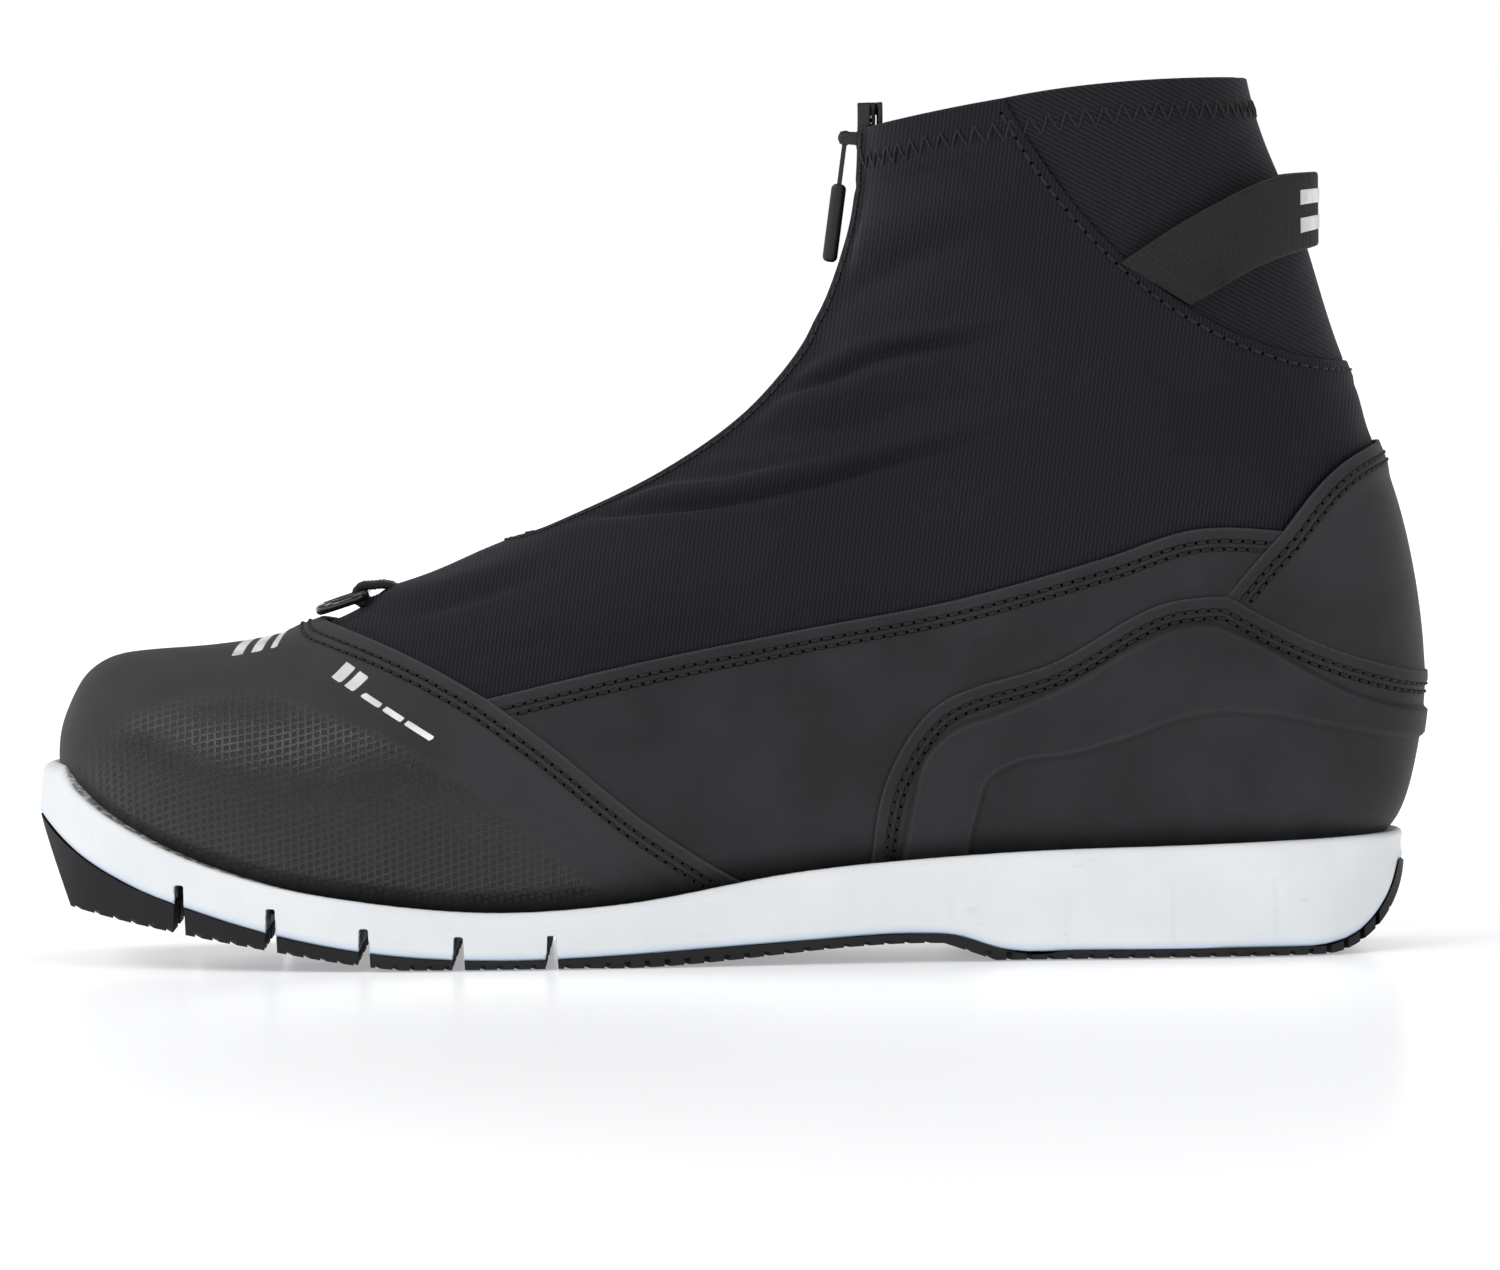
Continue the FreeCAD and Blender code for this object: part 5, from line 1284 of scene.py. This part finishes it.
rim_height = line_height([[(-150.2, 42.9), (-148.4, 42.7), (-146.2, 42.4)], RIM_LINE])
tread_height = line_height([TREAD_LINE, [(70.0, 1.7), (124.0, 1.7)], TREAD_END])
ground_height = line_height([[(-142.2, 12.6), (-120.5, 8.0), (-98.0, 4.0), (-77.0, 0.7), (-70.0, 0.0)],
                             [(-70.0, 0.0), (-30.0, 0.0)], [(-30.0, 0.0), (10.0, 2.0), (32.0, 3.7), (45.0, 3.8)],
                             [(45.0, 3.8), (56.0, 0.0)], [(56.0, 0.0), (126.0, 0.0)],
                             [(126.0, 0.0), (135.6, 3.0), (142.2, 10.2), (145.0, 18.4)]])


def even_path(points, cell):
    """The same line with its points `cell` apart."""
    points = np.array(points, float)
    run = run_of(points)
    even = np.linspace(0, run[-1], int(run[-1] / cell) + 1)
    return np.stack([np.interp(even, run, column) for column in points.T], axis=1)


def sole_outline(cell):
    """The sole's outline in plan, evenly spaced, with its outward normals."""
    loop = [*PLAN_LATERAL, *PLAN_MEDIAL]
    wrapped = smooth_line([*loop[-3:], *loop, *loop[:3]], 1.0)
    start = np.argmin(np.linalg.norm(wrapped[:len(wrapped) // 2] - loop[0], axis=1))
    end = len(wrapped) // 2 + np.argmin(np.linalg.norm(wrapped[len(wrapped) // 2:] - loop[0], axis=1))
    ring = wrapped[start:end + 1]
    points = even_path(ring, cell)[:-1]
    ahead = np.roll(points, -2, axis=0) - np.roll(points, 2, axis=0)
    return points, unit(np.stack([ahead[:, 1], -ahead[:, 0]], axis=1))


def capped(points, rings, count, upward):
    """Triangles that close a ring of points, in plan."""
    ids = rings * count + np.arange(count)
    flat = [Vector(p[:2]) for p in points[ids]]
    edges = [(k, (k + 1) % count) for k in range(count)]
    _, _, faces, origin, _, _ = delaunay_2d_cdt(flat, edges, [], 1, 1e-7)
    back = [o[0] for o in origin]
    made = ids[np.array([[back[k] for k in face] for face in faces])]
    a, b, c = (points[made[:, k], :2] for k in range(3))
    turn = (b - a)[:, 0] * (c - a)[:, 1] - (b - a)[:, 1] * (c - a)[:, 0]
    swap = (turn > 0) != upward
    made[swap] = made[swap][:, ::-1]
    return made


def difference(piece, cutter):
    """Cuts one mesh out of another, exactly."""
    cut = piece.modifiers.new("cut", "BOOLEAN")
    cut.operation = "DIFFERENCE"
    cut.solver = "EXACT"
    cut.object = cutter
    settle(piece)
    return piece


def prism_mesh(outline_points, low, high, axis):
    """A closed prism from a flat outline; axis 1 carries (x, z) points along Y, axis 2 (x, y) along Z."""
    ends = [np.insert(np.array(outline_points, float), axis, level, axis=1) for level in (low, high)]
    return np.concatenate(ends), lofted(2, len(outline_points))


def carve(piece, parts):
    """Cuts closed shapes out of a piece."""
    cutter = outward_facing(make_object(f"{piece.name}_cutter", *join(parts), rubber, smooth=False))
    difference(piece, cutter)
    bpy.data.objects.remove(cutter)


SOLE_HALF = 70.0                     # further out than the sole reaches on either side


def notch_prism(x, roof):
    """A flex notch right across the sole, with a narrow top and a wide mouth."""
    top, mouth, neck = NOTCH_TOP / 2, NOTCH_MOUTH / 2, roof * 0.5
    half = [(top - NOTCH_CORNER, roof), (top, roof - NOTCH_CORNER), (top + 0.15, neck), (mouth, -3.0)]
    left = [(x - away, z) for away, z in half]
    right = [(x + away, z) for away, z in half]
    return prism_mesh([left[1], left[0], *right, left[3], left[2]], -SOLE_HALF, SOLE_HALF, 1)


TIP_ROUNDING = 2.4                   # how far the rim is drawn in at the very tip of the toe
TOE_BAR_POCKET = [(-136.5, -12.5), (-123.5, -12.5), (-123.5, 12.5), (-136.5, 12.5)]
POCKET_ROOF = 19.8
# The midsole's top edge from the inside out, as (inset, depth below the rim line, value of "rim").
RIM_PROFILE = [(10.5, 5.0, 0.0), (9.5, 0.9, 0.0), (4.5, 0.35, 0.0), (1.7, 0.02, 0.15), (0.8, 0.08, 0.8),
               (0.28, 0.42, 1.5), (0.0, 1.1, 2.2)]
# Its lower edge, as (inset, height above the tread line).
FOOT_PROFILE = [(0.0, 1.2), (0.14, 0.6), (0.5, 0.15), (1.1, 0.0), (6.0, 0.0)]
WALL_RIM = 3.0                       # the value of "rim" on the side wall
BULGE = 0.32                         # how far the wall is hollow half way up


def tick_depth(x, over):
    """How deep the upright marks are at x, `over` above the tread line."""
    total = 0.0
    for middle, start, end in TICKS:
        total = total + (TICK_DEPTH * np.exp(-((x - middle) / 0.75) ** 4) * step_up(over, start, start + 0.8)
                         * step_up(end - over, 0, 0.8))
    return total


def make_midsole():
    points, normals = sole_outline(0.6)
    count = len(points)
    top, low = rim_height(points[:, 0]), tread_height(points[:, 0])
    rows = [(inset, top - depth, rim) for inset, depth, rim in RIM_PROFILE]
    for share in np.linspace(0, 1, 17)[1:-1]:
        height = top - 1.1 + share * (low + 1.2 - top + 1.1)
        rows.append((BULGE * math.sin(math.pi * share), height, WALL_RIM))
    rows += [(inset, low + lift, WALL_RIM) for inset, lift in FOOT_PROFILE]
    made, rim, above = [], [], []
    tip = TIP_ROUNDING * step_up(-142.0 - points[:, 0], 0.0, 6.0)
    for inset, height, rim_value in rows:
        reach = inset + tip * (np.exp((height - top) / 1.7) if rim_value > 0.5 else 1.0)
        reach = reach + tick_depth(points[:, 0], height - low)
        made.append(np.column_stack([points - normals * reach[:, None], height]))
        rim.append(np.full(count, rim_value))
        above.append(height - low)
    ring = np.arange(count)
    ahead = np.roll(ring, -1)
    wall = np.stack([ring, ring + count, ahead + count, ahead], axis=1)
    walls = [wall + k * count for k in range(len(rows) - 1)]
    made = np.concatenate(made)
    caps = [capped(made, 0, count, True), capped(made, len(rows) - 1, count, False)]
    values = {"rim": np.concatenate(rim), "low": np.concatenate(above)}
    piece = make_object("midsole_foam", made, [*walls, *caps], white_foam, slot="midsole_foam",
                        replaces=["midsole"], values=values)
    pocket = prism_mesh(TOE_BAR_POCKET, -5.0, POCKET_ROOF, 2)
    carve(piece, [notch_prism(*place) for place in NOTCHES] + [pocket])


make_midsole()

# ---------------------------------------------------------------- outsole
LUG_DEPTH = 0.85
CHEVRON_RUN = 14.0                   # how far a groove sweeps back from the middle to the edge
GROOVE_HALF = 56.0                   # how far out a groove runs on either side


def lug_groove(x, width):
    """A V-shaped groove right across the tread, as deep as LUG_DEPTH above the ground line."""
    far = x + CHEVRON_RUN
    plan = [(x, 0.0), (far, -GROOVE_HALF), (far + width, -GROOVE_HALF), (x + width, 0.0),
            (far + width, GROOVE_HALF), (far, GROOVE_HALF)]
    points, faces = prism_mesh(plan, -6.0, 0.0, 2)
    upper = len(plan) + np.arange(len(plan))
    points[upper, 2] = ground_height(points[upper, 0]) + LUG_DEPTH
    return points, faces


# For each piece of the outsole: where its grooves start and end, their pitch and their width.
BLOCKS = {"toe_block": (-146.0, -128.0, 3.3, 1.0), "tread_block_1": (-124.0, -104.0, 3.4, 1.3),
          "tread_block_2": (-106.0, -84.0, 3.4, 1.2), "tread_block_3": (-88.0, -64.0, 3.6, 1.1),
          "tread_block_4": (-66.0, -44.0, 3.6, 1.1), "outsole_heel": (-48.0, 140.0, 4.4, 1.3)}
for node, (start, end, pitch, width) in BLOCKS.items():
    block = copied(node, f"{node}_rubber")
    carve(block, [lug_groove(x, width) for x in np.arange(start, end, pitch)])
    block.data.polygons.foreach_set("use_smooth", np.zeros(len(block.data.polygons), bool))
    finished(block, rubber, node)

# ---------------------------------------------------------------- zip
ZIP_LOW, ZIP_HIGH = -79.5, 0.6       # zip angles of its two ends


def on_zip(angle, radius, y):
    """Points at an angle above level and a radius from the zip's axis."""
    turn = np.radians(angle)
    x, z = ZIP_AXIS[0] + radius * np.cos(turn), ZIP_AXIS[1] + radius * np.sin(turn)
    return np.stack(np.broadcast_arrays(x, y, z), axis=-1)


def tape_dip(angle):
    """How far the zip's lower end goes down under the fabric."""
    return 1.6 * (1 - step_up(angle, ZIP_LOW, ZIP_LOW + 5.0))


def swept(section, angles):
    """A closed (radius, y) section carried along the zip's arc."""
    ring = np.array(section)
    points = np.concatenate([on_zip(angle, ring[:, 0] + tape_dip(angle), ring[:, 1]) for angle in angles])
    return points, lofted(len(angles), len(ring))


COIL_PITCH = 1.25
COIL_TURN_STEPS = 12
COIL_ARC = 92.5                      # radius along which the coil's pitch is measured
COIL_HALF = (0.36, 0.86)             # half the coil's height and its width across
TAPE_FRONT, TAPE_BACK = 93.1, 93.7   # radii of the tape's two faces
TAPE_LINES = [(0.9, 0.12), (1.6, 0.22), (2.3, 0.10), (3.5, 0.0), (5.0, 0.02), (6.4, 0.0), (7.2, 0.12),
              (7.8, 0.0)]
LOOP_DROP = 1.2                      # how far the lace loops are moved in, under the fabric
ANCHOR_DROP = 3.2                    # and the sewn ends of the heel loop


def make_zip_half(side, sign):
    """The tape of one side, with its woven lines as (distance from the middle, height), and its coil."""
    front = [(TAPE_FRONT - height, sign * y) for y, height in TAPE_LINES]
    back = [(TAPE_BACK, sign * y) for y, _ in reversed(TAPE_LINES)]
    points, faces = swept(front + back, np.linspace(ZIP_LOW, ZIP_HIGH, 170))
    outward_facing(make_object(f"zip_tape_cloth_{side}", points, faces, tape_weave, slot="zip_tape",
                               replaces=[f"zip_tape_{side}"]))
    turns = int(math.radians(ZIP_HIGH - ZIP_LOW - 2.7) * COIL_ARC / COIL_PITCH)
    phase = np.arange(turns * COIL_TURN_STEPS) / COIL_TURN_STEPS + (0.5 if sign > 0 else 0.0)
    angle = ZIP_LOW + 1.5 + np.degrees(phase * COIL_PITCH / COIL_ARC)
    swing = 2 * np.pi * phase
    high, wide = COIL_HALF
    path = on_zip(angle, 93.0 + tape_dip(angle) - high * np.sin(swing), sign * (wide - wide * np.cos(swing)))
    normals = on_zip(angle, -1.0, 0.0) - on_zip(angle, 0.0, 0.0)
    points, faces = tubes(path[None], normals[None], 0.24)
    make_object(f"zip_coil_wire_{side}", points, faces, coil_nylon, slot="zip_coil",
                replaces=[f"zip_coil_{side}"])


def shifted(piece, shift):
    """Moves each corner of a piece by what `shift` gives for its place, in millimetres."""
    places = np.array([v.co for v in piece.data.vertices]) / MM
    piece.data.vertices.foreach_set("co", ((places + shift(places)) * MM).ravel())


def away_from_zip(places):
    return unit((places - [ZIP_AXIS[0], 0.0, ZIP_AXIS[1]]) * [1, 0, 1]) * LOOP_DROP


def toward_middle(places):
    return -np.sign(places) * [0.0, ANCHOR_DROP, 0.0]


for side, sign in SIDES:
    make_zip_half(side, sign)
for side, _ in SIDES:
    anchor = softened(f"loop_anchor_{side}", f"loop_sewn_end_{side}", webbing, 0.3, 2)
    shifted(anchor, toward_middle)
    loops = softened(f"lace_loops_{side}", f"lace_loop_wires_{side}", slider_metal, 0.25, 2)
    shifted(loops, away_from_zip)

softened("zip_slider", "zip_slider_casting", slider_metal, 0.16, 4, "zip_slider")
softened("zip_pull_link", "zip_pull_wire", slider_metal, 0.12, 3, "zip_pull")
softened("zip_pull_grip", "zip_pull_handle", grip_rubber, 0.2, 3, "zip_pull")
rows_along("zip_edge_stitching", beside_zip, (2.2,), lambda at: least(collar_line(at) - 1.0, 40.0 - at.x),
           cover_height, 2.8)

# ---------------------------------------------------------------- webbing: ring tab and heel loop
RIB_PITCH = 0.85
# Across a band: where its corners lie, in half widths, and what share of the thickness it has there.
BAND_SHARES = np.array([-1.0, -0.97, -0.9, -0.6, -0.3, 0.0, 0.3, 0.6, 0.9, 0.97, 1.0])
BAND_FULLNESS = np.array([0.35, 0.8, 1.0, 1.0, 1.0, 1.0, 1.0, 1.0, 1.0, 0.8, 0.35])


def ribbon(path, normals, half_widths, thickness, rib=0.10):
    """A ribbed band along its middle line `path`; the half widths are vectors, and ribs lie across it."""
    ribs = rib * np.sin(2 * np.pi * run_of(path) / RIB_PITCH)
    layers = []
    for face in (1, -1):
        lift = face * (thickness / 2) * BAND_FULLNESS[None, :] + face * ribs[:, None] * BAND_FULLNESS[None, :]
        layers.append(path[:, None] + half_widths[:, None] * BAND_SHARES[None, :, None]
                      + normals[:, None] * lift[..., None])
    upper, lower = layers
    ring = np.concatenate([upper, lower[:, ::-1]], axis=1)
    return ring.reshape(-1, 3), lofted(*ring.shape[:2])


RING_BAR = (-78.7, 78.2)             # (x, z)
RING_WIRE = 1.1
TAB = (5.8, 1.7)                     # half the ring tab's width, and its thickness


def make_ring_tab():
    """The webbing tab: up from the zip's end, round the ring's bar and back down, in side view."""
    wrap = RING_WIRE + 0.85
    turn = np.radians(np.linspace(-75, 95, 24))
    over = [(RING_BAR[0] - wrap * np.cos(t), RING_BAR[1] + wrap * np.sin(t)) for t in turn]
    under = [(-71.8, 76.6), (-73.6, 77.2), (-75.4, 77.4), (-77.0, 76.8)]
    back = [(-76.6, 80.2), (-75.0, 80.4), (-73.2, 80.1), (-71.8, 79.3), (-70.8, 78.2)]
    path = even_path([*under, *over, *back], 0.2)
    ahead = np.gradient(path, axis=0)
    normals = unit(np.insert(np.column_stack([-ahead[:, 1], ahead[:, 0]]), 1, 0.0, axis=1))
    half, thickness = TAB
    across = np.tile([0.0, half, 0.0], (len(path), 1))
    points, faces = ribbon(np.insert(path, 1, 0.0, axis=1), normals, across, thickness, 0.06)
    outward_facing(make_object("ring_tab_webbing", points, faces, webbing, slot="webbing",
                               replaces=["ring_tab"]))


make_ring_tab()

LOOP_UPPER = line_height([[(78.0, 144.0), (85.3, 149.0), (102.8, 159.6), (119.1, 166.3), (134.0, 167.0)]])
LOOP_LOWER = line_height([[(84.0, 130.0), (99.3, 139.1), (115.6, 147.8), (134.0, 152.6)]])
LOOP_FRONT = (84.0, 38.9)            # (x, y) of the strap's inner face where it is sewn on
LOOP_BACK = 126.6                    # and x behind the heel
LOOP_POWER = 2.35                    # squareness of its plan curve, 2 being an ellipse
STRAP = 1.5                          # its thickness
CUT_LEAN = 15.0                      # how far the cut ends lean back from top to bottom
BARS_FROM = 123.2                    # x behind which the light bars show


def strap_plan(extra):
    """The strap's plan line, from its outer sewn end round the heel to its inner one."""
    turn = np.linspace(0, math.pi, 1201)
    x = LOOP_FRONT[0] + (LOOP_BACK + extra - LOOP_FRONT[0]) * np.abs(np.sin(turn)) ** (2 / LOOP_POWER)
    y = -np.sign(np.cos(turn)) * (LOOP_FRONT[1] + extra) * np.abs(np.cos(turn)) ** (2 / LOOP_POWER)
    return even_path(np.column_stack([x, y]), 0.2)


def strap_side(x, extra):
    """Half the strap's spread at each x along the boot."""
    share = np.clip((x - LOOP_FRONT[0]) / (LOOP_BACK + extra - LOOP_FRONT[0]), 0.0, 1.0)
    return (LOOP_FRONT[1] + extra) * (1 - share ** LOOP_POWER) ** (1 / LOOP_POWER)


def skin_side(x, z):
    """Half the boot's width where it is seen at (x, z), from the grid's nearest places."""
    near = plain.places.point[plain.places.y < -3.0]
    apart = (near[None, :, 0] - x[:, None]) ** 2 + (near[None, :, 2] - z[:, None]) ** 2
    close = np.argsort(apart, axis=1)[:, :8]
    weight = 1 / (np.take_along_axis(apart, close, axis=1) + 0.2)
    return (np.abs(near[close, 1]) * weight).sum(axis=1) / weight.sum(axis=1)


def strap_frame(plan, extra):
    """Middle, outward normal and half-width vector of the strap at each point of its plan line."""
    ahead = np.gradient(plan, axis=0)
    out = unit(np.column_stack([ahead[:, 1], -ahead[:, 0], np.zeros(len(plan))]))
    # The lower edge starts further back, so that the cut ends follow the rear seam.
    x, side = plan[:, 0], np.sign(plan[:, 1])
    low_x = x + CUT_LEAN * step_up(112.0 - x, 0.0, 28.0)
    edges = []
    for edge_x, edge_z, own in ((x, LOOP_UPPER(x), np.abs(plan[:, 1])),
                                (low_x, LOOP_LOWER(low_x), strap_side(low_x, extra))):
        clear = np.maximum(own, skin_side(edge_x, edge_z) + extra + SWELL - 0.9)
        share = step_up(edge_x, 104.0, 114.0)
        edge_y = np.where(edge_x > x + 0.01, own, np.abs(plan[:, 1])) * share + clear * (1 - share)
        edges.append(np.column_stack([edge_x, side * edge_y, edge_z]))
    upper, lower = edges
    sunk = 2.0 * step_up(88.0 - x, 0.0, 4.0)
    return (upper + lower) / 2 - out * sunk[:, None], out, (upper - lower) / 2


def make_heel_loop():
    plan = strap_plan(STRAP / 2)
    middle, out, half = strap_frame(plan, STRAP / 2)
    points, faces = ribbon(middle, out, half, STRAP - 0.2)
    piece = outward_facing(make_object("heel_pull_webbing", points, faces, webbing, None, "webbing",
                                       replaces=["heel_pull_loop"]))
    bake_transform(piece)


def make_loop_bars():
    """Two plain light bars woven into the strap where it turns behind the heel."""
    plan = strap_plan(STRAP + 0.02)
    plan = plan[plan[:, 0] > BARS_FROM]
    middle, out, half = strap_frame(plan, STRAP + 0.02)
    bars = [ribbon(middle + half * share, out, half * 0.19, 0.3, 0.05) for share in (0.36, -0.36)]
    points, faces = join(bars)
    outward_facing(make_object("heel_pull_bars", points, faces, white_yarn, "heel_pull_loop", "webbing"))


make_heel_loop()
make_loop_bars()

# ---------------------------------------------------------------- CAD pieces that stay as they are
FINISHES = {
    "lasting_board": board_fibre, "toe_puff": stiff_film, "heel_cup": cup_plastic, "collar_elastic": elastic,
    "eyestay_lateral": stiff_film, "eyestay_medial": stiff_film, "midfoot_interlining": open_foam,
    "ankle_padding": open_foam, "lining_forefoot": fleece, "flex_core": rubber, "shank": steel,
    "heel_cushion": open_foam, "toe_bar": steel, "zip_bottom_stop": slider_metal, "zip_top_stops": slider_metal,
    "gaiter_ring": gloss_plastic,
}
for node, finish in FINISHES.items():
    kept = bpy.data.objects[node]
    if not kept.material_slots:
        kept.data.materials.append(finish)
    for place in kept.material_slots:
        place.link = "OBJECT"
        place.material = finish

# ---------------------------------------------------------------- floor, sky, lights and camera
low, high = (np.array(corner) for corner in cad_box)
middle = Vector((low + high) / 2)
FLOOR = 30.0                         # metres, from here to the end of the script
FLOOR_DROP = 0.0003
SKY_BAND = (0.10, 0.26)              # height on a unit sphere where the white horizon starts and stops fading
SKY_DIM = 0.31                       # brightness above it


def floor_look():
    """A white floor whose material glows, more and more away from the boot: painted light that whitens it and also
    lights the boot from below.
    """
    look = Look("studio_white", (0.93, 0.93, 0.935), 0.24, specular_ior_level=0.35)
    look.roughness(look.span(look.noise(900.0, 2.0), 0.3, 0.7, 0.23, 0.27))
    away = look.add("ShaderNodeVectorMath", "Value", {0: look.space}, operation="LENGTH")
    # Painted light: the floor's own glow, weaker near the boot so its shadow stays, stronger further out.
    look.set(look.shader, "Emission Color", (0.97, 0.98, 1.0, 1.0))
    look.set(look.shader, "Emission Strength", look.span(away, 0.18, 1.1, 0.34, 0.70))
    return look.material


def make_floor():
    mesh = bpy.data.meshes.new("studio_floor")
    corners = [(-FLOOR, -FLOOR, 0), (FLOOR, -FLOOR, 0), (FLOOR, FLOOR, 0), (-FLOOR, FLOOR, 0)]
    mesh.from_pydata(corners, [], [(0, 1, 2, 3)])
    mesh.materials.append(floor_look())
    floor = placed("studio_floor", mesh)
    floor.location.z = -FLOOR_DROP


def make_sky():
    """A white band along the horizon that fades to a dimmer sky above and below it."""
    world = bpy.data.worlds.new("studio")
    bpy.context.scene.world = world
    world.use_nodes = True
    nodes, links = world.node_tree.nodes, world.node_tree.links
    upright = nodes.new("ShaderNodeSeparateXYZ")
    level = nodes.new("ShaderNodeMath")
    level.operation = "ABSOLUTE"
    fade = nodes.new("ShaderNodeMapRange")
    for socket, number in zip(("From Min", "From Max", "To Min", "To Max"), (*SKY_BAND, 1.0, SKY_DIM)):
        fade.inputs[socket].default_value = number
    links.new(nodes.new("ShaderNodeTexCoord").outputs["Generated"], upright.inputs["Vector"])
    links.new(upright.outputs["Z"], level.inputs[0])
    links.new(level.outputs["Value"], fade.inputs["Value"])
    links.new(fade.outputs["Result"], nodes["Background"].inputs["Strength"])
    nodes["Background"].inputs["Color"].default_value = (1.0, 1.0, 1.0, 1.0)


def soft_light(name, place, size, power):
    lamp = bpy.data.lights.new(name, "AREA")
    lamp.shape = "RECTANGLE"
    lamp.size, lamp.size_y = size
    lamp.energy = power
    light = placed(name, lamp)
    light.location = middle + Vector(place)
    light.rotation_euler = (-Vector(place)).to_track_quat("-Z", "Y").to_euler()


make_floor()
make_sky()
# Each light: its place from the boot's middle, its width and height, and its power in watts.
soft_light("key_upper_left", (-0.9, -1.1, 1.1), (0.9, 0.7), 7.8)
soft_light("top_strip", (0.1, -0.1, 1.5), (1.4, 0.5), 5.6)
soft_light("fill_right", (1.3, -0.9, 0.5), (0.7, 1.0), 2.6)
soft_light("gleam_upper_left", (-1.45, 0.15, 1.2), (0.8, 0.7), 8.0)

DISTANCE = 2.3
FRAME_WIDTH = 0.3245                 # what the frame's width takes in at the boot
ELEVATION = math.radians(2.3)
ROLL = math.radians(-0.67)
TARGET = Vector((0.0044, 0.0, 0.0684))


def make_camera():
    camera = bpy.data.cameras.new("camera")
    camera.sensor_width = 36.0
    camera.lens = camera.sensor_width * DISTANCE / FRAME_WIDTH
    camera.clip_start, camera.clip_end = 0.1, 50.0
    eye = placed("camera", camera)
    eye.location = TARGET + Vector((0.0, -math.cos(ELEVATION), math.sin(ELEVATION))) * DISTANCE
    turned = Matrix.Rotation(math.pi / 2 - ELEVATION, 4, "X") @ Matrix.Rotation(ROLL, 4, "Z")
    eye.rotation_euler = turned.to_euler()
    bpy.context.scene.camera = eye


make_camera()
bpy.context.scene.view_settings.view_transform = "Standard"
